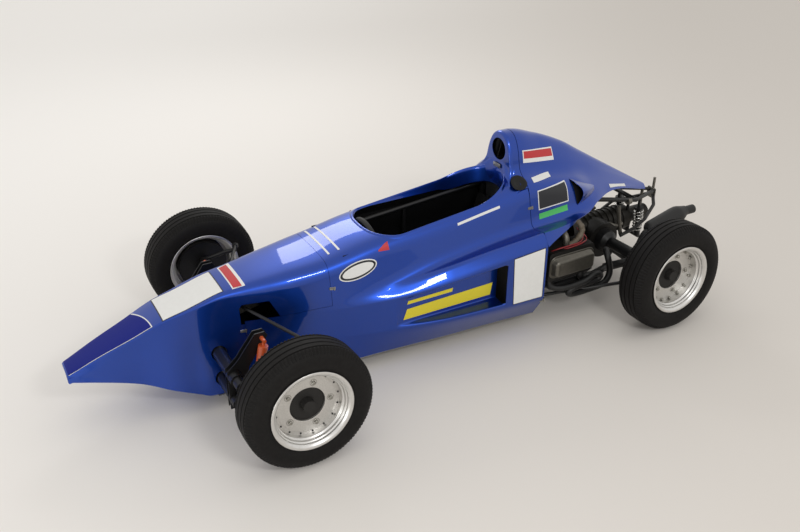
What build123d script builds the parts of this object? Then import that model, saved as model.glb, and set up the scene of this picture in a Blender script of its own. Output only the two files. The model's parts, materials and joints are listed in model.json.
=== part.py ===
# Open wheel junior single-seater racing car: moulded body over a tube frame,
# transverse torsion-tube front axle, air-cooled flat-four engine behind the
# driver, swing-axle rear end and 13 inch two-piece wheels.
#
# Frame: +X towards the nose, +Y to the car's left, +Z up.  The origin is on the
# floor, at the middle of the car's length and width.  Sizes are millimetres.
# Tables give X as the distance ahead of the front axle (behind it is negative).
from build123d import *
import os
from collections import namedtuple
from math import atan, cos, hypot, radians, sin, sqrt, tan

# ---------------------------------------------------------------- driving sizes
wheelbase = 2083.0            # front axle to rear axle
nose_reach = 823.0            # nose tip ahead of the front axle
tail_reach = 2570.0           # exhaust tip behind the front axle
front_axle_x = (tail_reach - nose_reach) / 2
rear_axle_x = front_axle_x - wheelbase

skin = 5.0                    # moulded body wall
panel_gap = 0.6               # joint line between body mouldings
touch = 0.3                   # clearance of parts that seat on each other
running = 0.05                # radial clearance of a shaft in its bore
floor_z = 75.0                # underside of the body mouldings
floor_plate = 4.0             # floor pan thickness

nose_joint_x = -345.0         # rear edge of the nose moulding
sill_joint_z = 400.0          # lower edge of the nose moulding behind the axle
sill_joint_x = 60.0           # front edge of the centre moulding below it
cover_joint_x = -1460.0       # front edge of the engine cover

# wheels: one row per axle
Axle = namedtuple("Axle", "x half_track tyre_r tyre_w camber disc_out drum_depth lugs")
front_axle = Axle(front_axle_x, 686.0, 285.5, 170.0, 2.6, 21.0, 53.0, 5)
rear_axle = Axle(rear_axle_x, 636.0, 290.0, 177.0, 2.7, 8.0, 74.0, 5)
tread_flat = 42.0             # half width of the tread's level middle
tread_half, crown_drop = 62.0, 3.0        # edge of the tread and its fall there
shoulder_in, shoulder_drop = 14.0, 15.0   # shoulder, from the widest and the highest place
rim_half = 75.0               # bead seat, from the rim's middle plane
bead_r = 165.0                # 13 inch bead seat radius
flange_r = 184.5
flange_w = 8.0
barrel = 4.0                  # rim barrel wall
barrel_r = 150.0              # drop centre of the barrel, outer radius
disc = 9.0                    # wheel centre disc thickness
disc_hole_r = 79.0
lug_circle_r = 102.5
lug_r = 10.5
lug_out = 12.0                # bolt head standing out of the disc
drum_r = 130.0
drum_wall = 9.0
spindle_r = 17.0
hub_r = 38.0
hub_cap = 30.0                # hub standing out through the disc's hole
backing = 4.0                 # brake backing plate
backing_gap = 5.0             # running gap between drum and backing plate

# ---------------------------------------------------------------- body tables
# Shoulder, waist (groove), ridge, panel and floor points of the half section.
Station = namedtuple("Station", "x top_z shoulder waist ridge panel_top panel_low floor")
body_stations = [
    Station(823.0, 303.0, (58.0, 300.0), None, None, None, None, (72.0, 276.0)),
    Station(540.0, 418.0, (92.0, 414.0), None, None, None, None, (120.0, 190.0)),
    Station(270.0, 506.0, (118.0, 501.0), None, None, None, None, (192.0, 86.0)),
    Station(137.0, 544.0, (124.0, 538.0), None, None, None, None, (206.0, 75.0)),
    Station(-160.0, 582.0, (175.0, 571.0), (196.0, 480.0), (208.0, 420.0),
            (212.0, 380.0), (222.0, 240.0), (232.0, 75.0)),
    Station(-345.0, 605.0, (200.0, 588.0), (219.0, 470.0), (226.0, 420.0),
            (232.0, 380.0), (242.0, 230.0), (246.0, 75.0)),
    Station(-600.0, 667.0, (196.0, 646.0), (243.0, 440.0), (258.0, 415.0),
            (294.0, 385.0), (304.0, 210.0), (262.0, 75.0)),
    Station(-940.0, 698.0, (203.0, 677.0), (258.0, 492.0), (320.0, 490.0),
            (364.0, 440.0), (368.0, 212.0), (290.0, 75.0)),
    Station(-1220.0, 732.0, (200.0, 709.0), (256.0, 520.0), (340.0, 528.0),
            (386.0, 475.0), (388.0, 200.0), (306.0, 75.0)),
    Station(-1460.0, 780.0, (200.0, 745.0), (250.0, 535.0), (350.0, 556.0),
            (394.0, 505.0), (398.0, 200.0), (326.0, 75.0)),
]

Cover = namedtuple("Cover", "x spine crease shoulder waist lip")
cover_stations = [
    Cover(-1460.0, (48.0, 985.0), (112.0, 800.0), (200.0, 745.0), (250.0, 535.0), (350.0, 556.0)),
    Cover(-1620.0, (34.0, 942.0), (110.0, 768.0), (198.0, 722.0), (245.0, 548.0), (326.0, 552.0)),
    Cover(-1800.0, (20.0, 867.0), (100.0, 735.0), (188.0, 690.0), (235.0, 566.0), (282.0, 560.0)),
    Cover(-1930.0, (16.0, 790.0), (86.0, 700.0), (160.0, 640.0), (196.0, 588.0), (214.0, 575.0)),
    Cover(-2060.0, (14.0, 716.0), (68.0, 660.0), (122.0, 606.0), (140.0, 582.0), (148.0, 570.0)),
    Cover(-2455.0, (10.0, 487.0), (18.0, 482.0), (26.0, 474.0), (31.0, 466.0), (34.0, 459.0)),
]

# side recess ahead of the pod's air intake
recess_front_x = -650.0
recess_rear_x = -1212.0
intake_rear_x = -1226.0
recess_low_z = 228.0
recess_top_z = 452.0
recess_depth = 70.0

# cockpit opening, in plan
cockpit_front_x = -604.0
cockpit_rear_x = -1404.0
cockpit_half = 176.0
cockpit_front_r = 70.0
cockpit_rear_r = 60.0
cockpit_cut_z = 560.0
cockpit_cut_top = 802.0

# roll hoop fairing
fairing_front_x = -1404.0
fairing_base_z = 712.0
fairing_tuck = 4.0             # how far its foot sits inside the shoulder
intake_z = 893.0
intake_r = 57.0

# steering opening in the body's side
rod_open_rear_x = -100.0
rod_open_front_x = 75.0
rod_open_low_z = 385.0
rod_open_top_z = 478.0
rod_open_slope = 40.0         # how far its rear edge leans
side_reach = 520.0            # a cut through both sides of the body
beam_hole_gap = 5.0

# ---------------------------------------------------------------- frame and chassis
tube_r = 12.5
brace_r = 10.0
rail_y = 160.0
rail_low_z = floor_z + tube_r
front_hoop_x = 100.0
front_hoop_half = 104.0
front_hoop_z = 470.0
front_brace_x = front_hoop_x - 4.0
rail_front = 205.0
dash_rail_z = 560.0
hoop_rail_z = 640.0
mid_frame_x = -950.0
hoop_neck = (88.0, 790.0)
hoop_crown = (36.0, 958.0)
dash_x = -500.0
roll_hoop_x = -1440.0
roll_hoop_r = 16.0
top_rail_y = 172.0
plate = 3.0                   # bulkheads and brackets
firewall_corners = [(0.0, 735.0), (190.0, 720.0), (236.0, 540.0)]

# cockpit
seat_half = 140.0
seat_wall = 8.0
dash_half = 154.0
dash_low_z, dash_high_z = 500.0, 618.0
dash_corner = (140.0, 590.0)  # where its top corners are cut off, out and up
gauge_y = (-90.0, 0.0, 90.0)
gauge_z, gauge_r, gauge_depth = 560.0, 26.0, 8.0
column_hole_z, column_hole_r, column_r = 512.0, 17.0, 11.0
wheel_tilt = 12.0
steer_wheel_x, steer_wheel_z, steer_wheel_r = -655.0, 540.0, 125.0
grip_r, spoke_w, spoke_plate, boss_r, hub_plate_r = 13.0, 26.0, 4.0, 16.0, 34.0
column_top, column_low = 40.0, 618.0      # ahead of the steering wheel
steer_box_w, steer_box_h, steer_box_l, steer_box_corner = 72.0, 76.0, 92.0, 14.0
box_strut_z, box_strut_r, box_strut_x = 440.0, 9.0, 50.0
pedal_x = 62.0
pedal_y = (-70.0, 0.0, 70.0)
pedal_z, pedal_w, pedal_h, pedal_t, pedal_corner = 232.0, 46.0, 70.0, 6.0, 8.0
pedal_arm_r, pedal_shaft_r, pedal_shaft_half, pedal_shaft_z = 6.0, 9.0, 100.0, 30.0

# front axle beam
beam_x = 190.0
beam_upper_z = 272.0
beam_lower_z = 150.0
beam_r = 30.0
beam_half = 400.0
tower_y = 345.0
arm_y = 435.0
tower_t, tower_gap = 5.0, 14.0
# side outline of a tower that leans back over the trailing arms, from the beam: ahead and height
tower_outline = [(-34.0, 104.0), (30.0, 104.0), (30.0, 300.0), (-20.0, 345.0),
                 (-105.0, 455.0), (-150.0, 455.0), (-165.0, 435.0), (-70.0, 300.0)]
clamp_y, clamp_w, clamp_h, clamp_z = 90.0, 24.0, 34.0, 115.0
arm_boss_r, arm_r, arm_eye_r = 24.0, 13.0, 16.0
damper_y, damper_rod_r, damper_body_r, damper_low_r = 390.0, 7.0, 22.0, 17.0
damper_back, damper_top_z, damper_low_back = 135.0, 430.0, 90.0
damper_pin_r = 9.0
king_y = 566.0
king_r = 11.0
king_half = 66.0
carrier_r = 20.0
carrier_half = 36.0
eye_r = 21.0
eye_h = 22.0
eye_gap = 2.0
king_drop = 4.0               # kingpin's middle below the hub
link_offset, link_r = 22.0, 12.0
steer_arm_r, ball_pin_r, rod_eye_r, rod_eye_h = 11.0, 6.0, 16.0, 18.0
knuckle_hub_r, knuckle_hub_l = 40.0, 32.0
bridge_w, bridge_y, bridge_t, ear_w, ear_y, ear_l = 40.0, 33.0, 16.0, 36.0, 20.0, 40.0
# steering arm's root behind and outside the kingpin, and its bend on the way to the ball
arm_root_back, arm_root_out, arm_root_rise = 8.0, 30.0, 14.0
arm_bend_share, arm_bend_out, arm_bend_drop, ball_drop, ball_lap = 0.6, 22.0, 26.0, 14.0, 8.0
steer_ball_x = -150.0
steer_ball_y = 536.0
steer_ball_z = 395.0
rod_inner_x = 59.0
rod_inner_y = 88.0
rod_inner_z = 449.0
rod_r = 8.0

# engine and gearbox
engine_gap = 47.0             # from the firewall back to the crankcase
engine_rear_x = -1840.0
crank_z = 330.0
crankcase_half = 112.0
crankcase_low = 168.0
crankcase_high = 452.0
head_front_x = -1520.0
head_rear_x = -1812.0
head_in_y = 232.0
head_out_y = 345.0
head_half_z = 82.0
cylinder_r = 50.0
fin_r, fin_t, fin_pitch = 62.0, 3.0, 9.0
cylinder_x = (-1596.0, -1736.0)
cover_out_y = 386.0
cover_half_z = 64.0
axle_pivot_z = 257.0
gearbox_end_x = -2500.0
axle_tube_r = 32.0
pivot_half = 128.0            # side covers of the final drive
bell_r = 66.0                 # axle tube's bell on the side cover
pivot_case_r = 104.0
gear_drop = 34.0              # gearbox axis below the crankshaft
case_r, nose_case_r = 70.0, 44.0
bell_front_r, bell_rear_r, bell_rear_x, bell_drop = 160.0, 118.0, -1950.0, 20.0
case_front_x, case_rear_x, case_lap = -1940.0, -2341.0, 10.0

# intake, exhaust and what surrounds them
carb_x, carb_r, carb_low_z, carb_high_z = -1668.0, 24.0, 560.0, 622.0
carb_w, carb_d, horn_r, horn_top_z = 96.0, 76.0, 42.0, 660.0
manifold_y, manifold_z, manifold_r = 288.0, 500.0, 17.0
manifold_bend_y, manifold_fall = 200.0, 50.0
pipe_r = 18.0
header_end_x, header_shift = -1890.0, 20.0 # where the pipes turn in, and their offset from the cylinders
collector_x, collector_y, collector_z = -1995.0, 262.0, 172.0
riser = (-2170.0, 290.0, 180.0)           # foot of the pipe that climbs to the muffler
crossover = [(-2150.0, -220.0, 158.0), (-2210.0, -130.0, 150.0),
             (-2210.0, 130.0, 150.0), (-2165.0, 270.0, 176.0)]
riser_r, crossover_r, riser_lead, pipe_lap = 23.0, 21.0, 70.0, 5.0
muffler_x0, muffler_x1, muffler_y = -2290.0, -2480.0, 300.0
muffler_z0, muffler_z1, muffler_r = 362.0, 412.0, 51.0
tail_r, tail_wall, tail_rise, tail_lap = 25.0, 2.0, 4.0, 30.0
tail_length, collar_r = 60.0, 31.0         # straight outlet behind the muffler's collar
rear_lift = 5.0               # rear lower rails above the frame's
rear_cross_x, rear_end = -1900.0, (-2000.0, 140.0, 110.0)
rod_front_x, rod_front_y, rod_back_x, rod_front_lift = -1500.0, 216.0, -2050.0, 4.0
mount_y, mount_r = 40.0, 9.0
rod_end_y, rod_end_z, radius_rod_r = 478.0, 186.0, 9.0
# rear hoop of the frame, from beside the final drive up to the end plate, and the links above it
hoop_r = 10.0
rear_hoop = [(-2200.0, 140.0, 262.0), (-2300.0, 140.0, 285.0), (-2378.0, 138.0, 326.0),
             (-2505.0, 70.0, 360.0), (-2545.0, 16.0, 392.0)]
end_plate_x, end_plate_w, end_plate_low, end_plate_high, end_plate_t = -2545.0, 64.0, 372.0, 436.0, 4.0
link_end = (-2545.0, 16.0, 420.0)
# upright springs under the links, on a bar below the gearbox's nose
spring_x, spring_low_x, spring_low_z, spring_bar_z = -2375.0, -2392.0, 205.0, 192.0
spring_body_r, spring_rod_r, spring_bar_r, hanger_r = 16.0, 8.0, 10.0, 13.0
coil_count, coil_pitch, coil_t, coil_r, coil_lean = 7, 21.0, 8.0, 27.0, 0.2
coil_low = 28.0                # first coil above the spring's foot
post_x, post_top_z, post_r = -2468.0, 456.0, 9.0
lever_r, lever_low_z, lever_top_z = 8.0, 384.0, 496.0

parts_dir = "parts"
os.makedirs(parts_dir, exist_ok=True)


# ---------------------------------------------------------------- helpers
def ahead(distance):
    """X of a place given as its distance ahead of the front axle."""
    return front_axle_x + distance


def save(part, label):
    part.label = label
    export_step(part, f"{parts_dir}/{label}.step")
    print(label, round(part.volume / 1000.0, 1), "cm3")


def cross_plane(x):
    """Plane across the car at x: sketch X is +Y, sketch Y is +Z."""
    return Plane(origin=(ahead(x), 0, 0), x_dir=(0, 1, 0), z_dir=(1, 0, 0))


def side_plane(y=0.0):
    """Plane along the car at y: sketch X is +X, sketch Y is +Z, normal is -Y."""
    return Plane(origin=(0, y, 0), x_dir=(1, 0, 0), z_dir=(0, -1, 0))


def straight_side(top, low):
    """A plain side as six points, so that it lofts to the sections behind it."""
    shares = (0.0, 0.22, 0.36, 0.45, 0.75, 1.0)
    return [(top[0] + (low[0] - top[0]) * s, top[1] + (low[1] - top[1]) * s) for s in shares]


def half_section(row):
    """The half section's points from the shoulder down to the floor."""
    if row.waist is None:
        return straight_side(row.shoulder, row.floor)
    return [row.shoulder, row.waist, row.ridge, row.panel_top, row.panel_low, row.floor]


def inset(points, wall):
    """An open outline, top centre first, moved inwards by the wall."""
    moved = []
    for i, (y, z) in enumerate(points):
        normals = []
        for a, b in ((i - 1, i), (i, i + 1)):
            if a < 0 or b >= len(points):
                continue
            dy, dz = points[b][0] - points[a][0], points[b][1] - points[a][1]
            size = hypot(dy, dz)
            normals.append((dz / size, -dy / size))
        ny = sum(n[0] for n in normals)
        nz = sum(n[1] for n in normals)
        scale = 2.0 / (ny * ny + nz * nz) if len(normals) == 2 else 1.0
        moved.append((y + wall * ny * scale, z + wall * nz * scale))
    return moved


def mirrored(half):
    """Closed outline from the half outline that starts on the centre line."""
    other = [(-y, z) for y, z in reversed(half) if y > 0]
    return half + other


def section_face(x, outline):
    with BuildSketch(cross_plane(x)) as face:
        with BuildLine():
            Polyline(*outline, close=True)
        make_face()
    return face.sketch


def ruled_body(sections):
    """Solid ruled between the outlines of (x, outline) pairs."""
    with BuildPart() as body:
        loft([section_face(x, outline) for x, outline in sections], ruled=True)
    return body.part


def tube_between(start, end, radius):
    """Adds a round bar between two points to the current part."""
    a, b = Vector(start), Vector(end)
    with BuildSketch(Plane(origin=a, z_dir=(b - a).normalized())) as end_face:
        Circle(radius)
    extrude(end_face.sketch, amount=(b - a).length)


def tube_run(points, radius, bend=2.5):
    """Adds a bent round bar through the points; bend is in bar radii."""
    if len(points) == 2:
        tube_between(*points, radius)
        return
    with BuildLine() as path:
        FilletPolyline(*points, radius=bend * radius)
    with BuildSketch(Plane(origin=path.line @ 0, z_dir=path.line % 0)) as end_face:
        Circle(radius)
    sweep(end_face.sketch, path=path.line)


def at(x, y, z):
    """A place from its distance ahead of the front axle, its Y and its height."""
    return (ahead(x), y, z)


def side_at(x, z):
    """A point of a sketch on a plane along the car."""
    return (ahead(x), z)


# ---------------------------------------------------------------- body mouldings
def body_outline(row, wall, closed_floor):
    top = [(0.0, row.top_z)] + half_section(row)
    if wall == 0:
        return mirrored(top)
    inner = inset(top, wall)
    inner[0] = (0.0, row.top_z - wall)
    if closed_floor:
        low = (inner[-1][0] + wall / 3, row.floor[1] + wall)
        return mirrored([inner[0]] + straight_side(inner[1], low))
    inner[-1] = (inner[-1][0], row.floor[1] - 2 * wall)
    return mirrored(inner)


outer_body = ruled_body([(s.x, body_outline(s, 0, False)) for s in body_stations])
hollow_rows = [s._replace(x=s.x - skin if i == 0 else s.x) for i, s in enumerate(body_stations)]
inner_body = ruled_body([(s.x, body_outline(s, skin, s.x > 200)) for s in hollow_rows])

pod_side = [s.panel_top[0] for s in body_stations if s.panel_top and s.x < recess_rear_x][0]
recess_start_y = next(s.panel_low[0] for s in body_stations if s.panel_low and s.x < nose_joint_x)


def recess_plan(extra):
    """Plan outline of the tapering side recess, moved inwards by extra."""
    out_y = pod_side + 40.0
    in_y = pod_side - recess_depth - extra
    return [
        (ahead(recess_front_x + 3 * extra), recess_start_y - extra),
        (ahead(recess_front_x + 3 * extra), out_y),
        (ahead(recess_rear_x if extra else intake_rear_x), out_y),
        (ahead(recess_rear_x if extra else intake_rear_x), in_y),
    ]


def recess_block(extra):
    with BuildPart() as block:
        with BuildSketch(Plane.XY.offset(recess_low_z - extra)):
            with BuildLine():
                Polyline(*recess_plan(extra), close=True)
            make_face()
        extrude(amount=recess_top_z - recess_low_z + 2 * extra)
        mirror(about=Plane.XZ)
    return block.part


def fairing_outline(wall):
    first = cover_stations[0]
    half = [(0.0, first.spine[1])] + [first.spine, first.crease, first.shoulder]
    if wall:
        half = inset(half, wall)
        half[0] = (0.0, first.spine[1] - wall)
    foot_z = fairing_base_z - 4 * wall
    return mirrored(half + [(half[-1][0] - fairing_tuck, foot_z)])


with BuildPart() as shell:
    add(outer_body)
    add(inner_body, mode=Mode.SUBTRACT)
    add(recess_block(skin) & outer_body)
    add(recess_block(0.0), mode=Mode.SUBTRACT)
    # roll hoop fairing
    with BuildSketch(cross_plane(cover_joint_x)):
        with BuildLine():
            Polyline(*fairing_outline(0), close=True)
        make_face()
    extrude(amount=fairing_front_x - cover_joint_x)
    with BuildSketch(cross_plane(cover_joint_x)):
        with BuildLine():
            Polyline(*fairing_outline(skin), close=True)
        make_face()
    extrude(amount=fairing_front_x - cover_joint_x - skin, mode=Mode.SUBTRACT)
    with BuildSketch(cross_plane(fairing_front_x - 2 * skin)):
        with Locations((0, intake_z)):
            Circle(intake_r)
    extrude(amount=4 * skin, mode=Mode.SUBTRACT)
    # cockpit opening
    with BuildSketch(Plane.XY.offset(cockpit_cut_z)) as opening:
        with Locations((ahead((cockpit_front_x + cockpit_rear_x) / 2), 0)):
            Rectangle(cockpit_front_x - cockpit_rear_x, 2 * cockpit_half)
        fillet(opening.vertices().sort_by(Axis.X)[-2:], cockpit_front_r)
        fillet(opening.vertices().sort_by(Axis.X)[:2], cockpit_rear_r)
    extrude(amount=cockpit_cut_top - cockpit_cut_z, mode=Mode.SUBTRACT)
    # steering rod openings, both sides
    with BuildSketch(side_plane()):
        with BuildLine():
            Polyline(
                (ahead(rod_open_rear_x), rod_open_low_z + 12.0),
                (ahead(rod_open_rear_x + rod_open_slope), rod_open_top_z),
                (ahead(rod_open_front_x), rod_open_top_z),
                (ahead(rod_open_front_x), rod_open_low_z),
                (ahead(rod_open_rear_x + 1.5 * rod_open_slope), rod_open_low_z), close=True)
        make_face()
    extrude(amount=side_reach, both=True, mode=Mode.SUBTRACT)
    # beam tube holes
    with BuildSketch(side_plane()):
        with Locations((ahead(beam_x), beam_upper_z), (ahead(beam_x), beam_lower_z)):
            Circle(beam_r + beam_hole_gap)
    extrude(amount=side_reach, both=True, mode=Mode.SUBTRACT)


def block(x0, x1, z0, z1, y=600.0):
    with BuildPart() as box:
        with BuildSketch(side_plane()):
            with BuildLine():
                Polyline((ahead(x0), z0), (ahead(x1), z0), (ahead(x1), z1), (ahead(x0), z1), close=True)
            make_face()
        extrude(amount=y, both=True)
    return box.part


nose_region = block(nose_joint_x + panel_gap, 900, sill_joint_z + panel_gap, 1100)
nose_region += block(sill_joint_x + panel_gap, 900, 0, 1100)
centre_region = block(cover_joint_x + panel_gap, nose_joint_x, floor_z, 1100)
centre_region += block(nose_joint_x - 10, sill_joint_x, floor_z, sill_joint_z)

with BuildPart() as nose_section:
    add(shell.part)
    add(nose_region, mode=Mode.INTERSECT)
save(nose_section.part, "nose_section")

with BuildPart() as centre_body:
    add(shell.part)
    add(centre_region, mode=Mode.INTERSECT)
save(centre_body.part, "centre_body")


def cover_outline(row):
    """Closed outline of the cover's skin, which is open underneath."""
    half = [(0.0, row.spine[1]), row.spine, row.crease, row.shoulder, row.waist, row.lip]
    inner = inset(half, skin)
    inner[0] = (0.0, row.spine[1] - skin)
    outside = [(-y, z) for y, z in reversed(half[1:])] + half[1:]
    inside = list(reversed(inner[1:])) + [(-y, z) for y, z in inner[1:]]
    return outside + inside


Scoop = namedtuple("Scoop", "x length z_low z_top")
scoop = Scoop(-1745.0, 42.0, 592.0, 716.0)

with BuildPart() as engine_cover:
    add(ruled_body([(s.x, cover_outline(s)) for s in cover_stations]))
    with BuildSketch(side_plane()):
        with BuildLine():
            Polyline(
                (ahead(scoop.x), scoop.z_top),
                (ahead(scoop.x - scoop.length), scoop.z_top - scoop.length),
                (ahead(scoop.x - scoop.length), scoop.z_low),
                (ahead(scoop.x), scoop.z_low), close=True)
        make_face()
    extrude(amount=400.0, both=True, mode=Mode.SUBTRACT)
save(engine_cover.part, "engine_cover")

# ---------------------------------------------------------------- floor pan
floor_outline = [(s.x, s.floor[0]) for s in body_stations if s.x < 260]
floor_front_x = 225.0
with BuildPart() as floor_pan:
    with BuildSketch(Plane.XY.offset(floor_z - floor_plate)):
        with BuildLine():
            left = [(ahead(floor_front_x), floor_outline[0][1])]
            left += [(ahead(x), y) for x, y in floor_outline]
            Polyline(*left, *[(x, -y) for x, y in reversed(left)], close=True)
        make_face()
    extrude(amount=floor_plate - touch / 3)
save(floor_pan.part, "floor_pan")

# ---------------------------------------------------------------- tube frame
mid_share = (dash_x - mid_frame_x) / (dash_x - roll_hoop_x)
mid_rail_z = dash_rail_z + (hoop_rail_z - dash_rail_z) * mid_share
with BuildPart() as main_frame:
    for side in (1, -1):
        y = side * rail_y
        top_y = side * top_rail_y
        front_y = side * front_hoop_half
        tube_between(at(rail_front, y, rail_low_z), at(roll_hoop_x, y, rail_low_z), tube_r)
        tube_run([at(front_hoop_x, front_y, front_hoop_z), at(dash_x, top_y, dash_rail_z),
                  at(roll_hoop_x, top_y, hoop_rail_z)], tube_r, 6)
        for x, out_y, z in ((front_brace_x, front_y, front_hoop_z), (dash_x, top_y, dash_rail_z),
                            (mid_frame_x, top_y, mid_rail_z)):
            tube_between(at(x, out_y, z), at(x, y, rail_low_z), brace_r)
    hoop = [(rail_y, rail_low_z), (top_rail_y, hoop_rail_z), hoop_neck, hoop_crown]
    hoop_path = [at(roll_hoop_x, -y, z) for y, z in hoop]
    hoop_path += [at(roll_hoop_x, y, z) for y, z in reversed(hoop)]
    tube_run(hoop_path, roll_hoop_r, 1.9)
    for x, half, z in ((dash_x, top_rail_y, dash_rail_z), (front_brace_x, front_hoop_half, front_hoop_z)):
        tube_between(at(x, -half, z), at(x, half, z), brace_r)
    for x in (rail_front - tube_r, front_brace_x, dash_x, mid_frame_x):
        tube_between(at(x, -rail_y, rail_low_z), at(x, rail_y, rail_low_z), brace_r)
save(main_frame.part, "main_frame")

firewall_x = roll_hoop_x - roll_hoop_r - touch / 3
with BuildPart() as firewall:
    with BuildSketch(cross_plane(firewall_x)):
        with BuildLine():
            foot = floor_z + touch
            half = firewall_corners + [(firewall_corners[-1][0], foot), (0, foot)]
            Polyline(*half, *[(-y, z) for y, z in reversed(half[1:-1])], close=True)
        make_face()
    extrude(amount=-plate)
save(firewall.part, "firewall")
engine_front_x = firewall_x - plate - engine_gap

seat_base_z = floor_z + seat_wall + touch
seat_line = [(-700.0, 190.0), (-860.0, 150.0), (-1130.0, seat_base_z), (-1200.0, seat_base_z + 22.0),
             (-1395.0, 600.0)]
with BuildPart() as seat:
    with BuildSketch(side_plane()):
        with BuildLine():
            below = inset(seat_line, -seat_wall)
            Polyline(*[side_at(x, z) for x, z in seat_line + below[::-1]], close=True)
        make_face()
    extrude(amount=seat_half, both=True)
save(seat.part, "seat")

dash_face_x = dash_x - brace_r - touch
with BuildPart() as dash_panel:
    with BuildSketch(cross_plane(dash_face_x)):
        with BuildLine():
            half = [(dash_corner[0], dash_high_z), (dash_half, dash_corner[1]), (dash_half, dash_low_z)]
            Polyline(*half, *[(-y, z) for y, z in reversed(half)], close=True)
        make_face()
        with Locations((0, column_hole_z)):
            Circle(column_hole_r, mode=Mode.SUBTRACT)
    extrude(amount=-plate)
    for y in gauge_y:
        gauge_x = dash_face_x - plate
        tube_between(at(gauge_x, y, gauge_z), at(gauge_x - gauge_depth, y, gauge_z), gauge_r)
save(dash_panel.part, "dash_panel")

# ---------------------------------------------------------------- steering
column_dir = (cos(radians(wheel_tilt)), 0.0, -sin(radians(wheel_tilt)))


def on_column(distance):
    """A point on the steering column's axis, ahead of the steering wheel."""
    return at(steer_wheel_x + distance * column_dir[0], 0, steer_wheel_z + distance * column_dir[2])


with BuildPart() as steering_column:
    tube_between(on_column(column_top), on_column(column_low), column_r)
save(steering_column.part, "steering_column")

box_x = steer_wheel_x + column_low * column_dir[0]
with BuildPart() as steering_box:
    box_face = Plane(origin=on_column(column_low + touch), x_dir=(0, 1, 0), z_dir=column_dir)
    with BuildSketch(box_face):
        RectangleRounded(steer_box_w, steer_box_h, steer_box_corner)
    extrude(amount=steer_box_l)
    strut_front = at(front_brace_x - brace_r - 3 * touch, 0, front_hoop_z)
    tube_between(strut_front, at(box_x + box_strut_x, 0, box_strut_z), box_strut_r)
save(steering_box.part, "steering_box")

towards_driver = Vector(-column_dir[0], 0, -column_dir[2])
wheel_plane = Plane(origin=on_column(0), x_dir=(0, 1, 0), z_dir=towards_driver)
rim_plane = Plane(origin=on_column(0), x_dir=(0, 1, 0), z_dir=Vector(0, 1, 0).cross(towards_driver))
with BuildPart() as steering_wheel:
    with BuildSketch(rim_plane):
        with Locations((steer_wheel_r, 0)):
            Circle(grip_r)
    revolve(axis=Axis(on_column(0), towards_driver))
    with BuildSketch(wheel_plane):
        Circle(hub_plate_r)
        for angle in (0, 180, 270):
            with Locations(Rotation(0, 0, angle)):
                with Locations((steer_wheel_r / 2, 0)):
                    Rectangle(steer_wheel_r - grip_r / 2, spoke_w)
    extrude(amount=-spoke_plate)
    with BuildSketch(wheel_plane.offset(-spoke_plate)):
        Circle(boss_r)
    extrude(amount=-(column_top - spoke_plate - 1.0))
save(steering_wheel.part, "steering_wheel")

with BuildPart() as pedals:
    shaft_z = floor_z + pedal_shaft_z
    arm_x = pedal_x + pedal_t / 2
    for y in pedal_y:
        with BuildSketch(Plane.YZ.offset(ahead(pedal_x))):
            with Locations((y, pedal_z)):
                RectangleRounded(pedal_w, pedal_h, pedal_corner)
        extrude(amount=pedal_t)
        tube_between(at(arm_x, y, pedal_z), at(arm_x, y, shaft_z), pedal_arm_r)
    tube_between(at(arm_x, -pedal_shaft_half, shaft_z), at(arm_x, pedal_shaft_half, shaft_z), pedal_shaft_r)
    for y in (-pedal_shaft_half + 4, pedal_shaft_half - 4):
        with BuildSketch(Plane.XZ.offset(-y - plate)):
            with Locations((ahead(arm_x), floor_z + pedal_shaft_z / 2 + touch / 2)):
                Rectangle(pedal_shaft_z, pedal_shaft_z)
        extrude(amount=2 * plate)
save(pedals.part, "pedals")

# ---------------------------------------------------------------- front axle
with BuildPart() as front_beam:
    for z in (beam_upper_z, beam_lower_z):
        tube_between(at(beam_x, -beam_half, z), at(beam_x, beam_half, z), beam_r)
    for side in (1, -1):
        for offset in (-tower_gap, tower_gap):
            with BuildSketch(Plane.XZ.offset(-side * (tower_y + offset) - tower_t / 2)):
                with BuildLine():
                    Polyline(*[side_at(beam_x + x, z) for x, z in tower_outline], close=True)
                make_face()
            extrude(amount=tower_t)
    # clamps to the frame's front cross tube
    for y in (-clamp_y, clamp_y):
        with BuildSketch(Plane.XZ.offset(-y - clamp_w / 4)):
            with Locations((ahead(rail_front - tube_r), clamp_z)):
                Rectangle(clamp_w, clamp_h)
        extrude(amount=clamp_w / 2)
save(front_beam.part, "front_beam")

king_x = 0.0


def tread_points(axle):
    """The tyre's tread outline from its middle to its shoulder, as (out, radius)."""
    shoulder = (axle.tyre_w / 2 - shoulder_in, axle.tyre_r - shoulder_drop)
    return [(tread_flat, axle.tyre_r), (tread_half, axle.tyre_r - crown_drop), shoulder]


def standing_height(axle):
    """Height of the hub when the tilted tyre just touches the floor."""
    tilt = radians(axle.camber)
    return max(out * sin(tilt) + radius * cos(tilt) for out, radius in tread_points(axle))


hub_z = {"front": standing_height(front_axle), "rear": standing_height(rear_axle)}
king_z = hub_z["front"] - king_drop
arm_end_y = king_y - 30.0
link_z = {"upper": king_z + link_offset, "lower": king_z - link_offset}

with BuildPart() as trailing_arms:
    for side in (1, -1):
        for z_in, z_out in ((beam_upper_z, link_z["upper"]), (beam_lower_z, link_z["lower"])):
            tube_between(at(beam_x, side * (beam_half + touch), z_in),
                         at(beam_x, side * (arm_y + 18), z_in), arm_boss_r)
            tube_run([at(beam_x, side * (arm_y + 2), z_in),
                      at(beam_x - damper_low_back, side * (arm_y + 6), (z_in + z_out) / 2),
                      at(king_x, side * (arm_end_y - 34), z_out)], arm_r)
            tube_between(at(king_x, side * (arm_end_y - 48), z_out),
                         at(king_x, side * (arm_end_y - 2), z_out), arm_eye_r)
save(trailing_arms.part, "trailing_arms")

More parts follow.
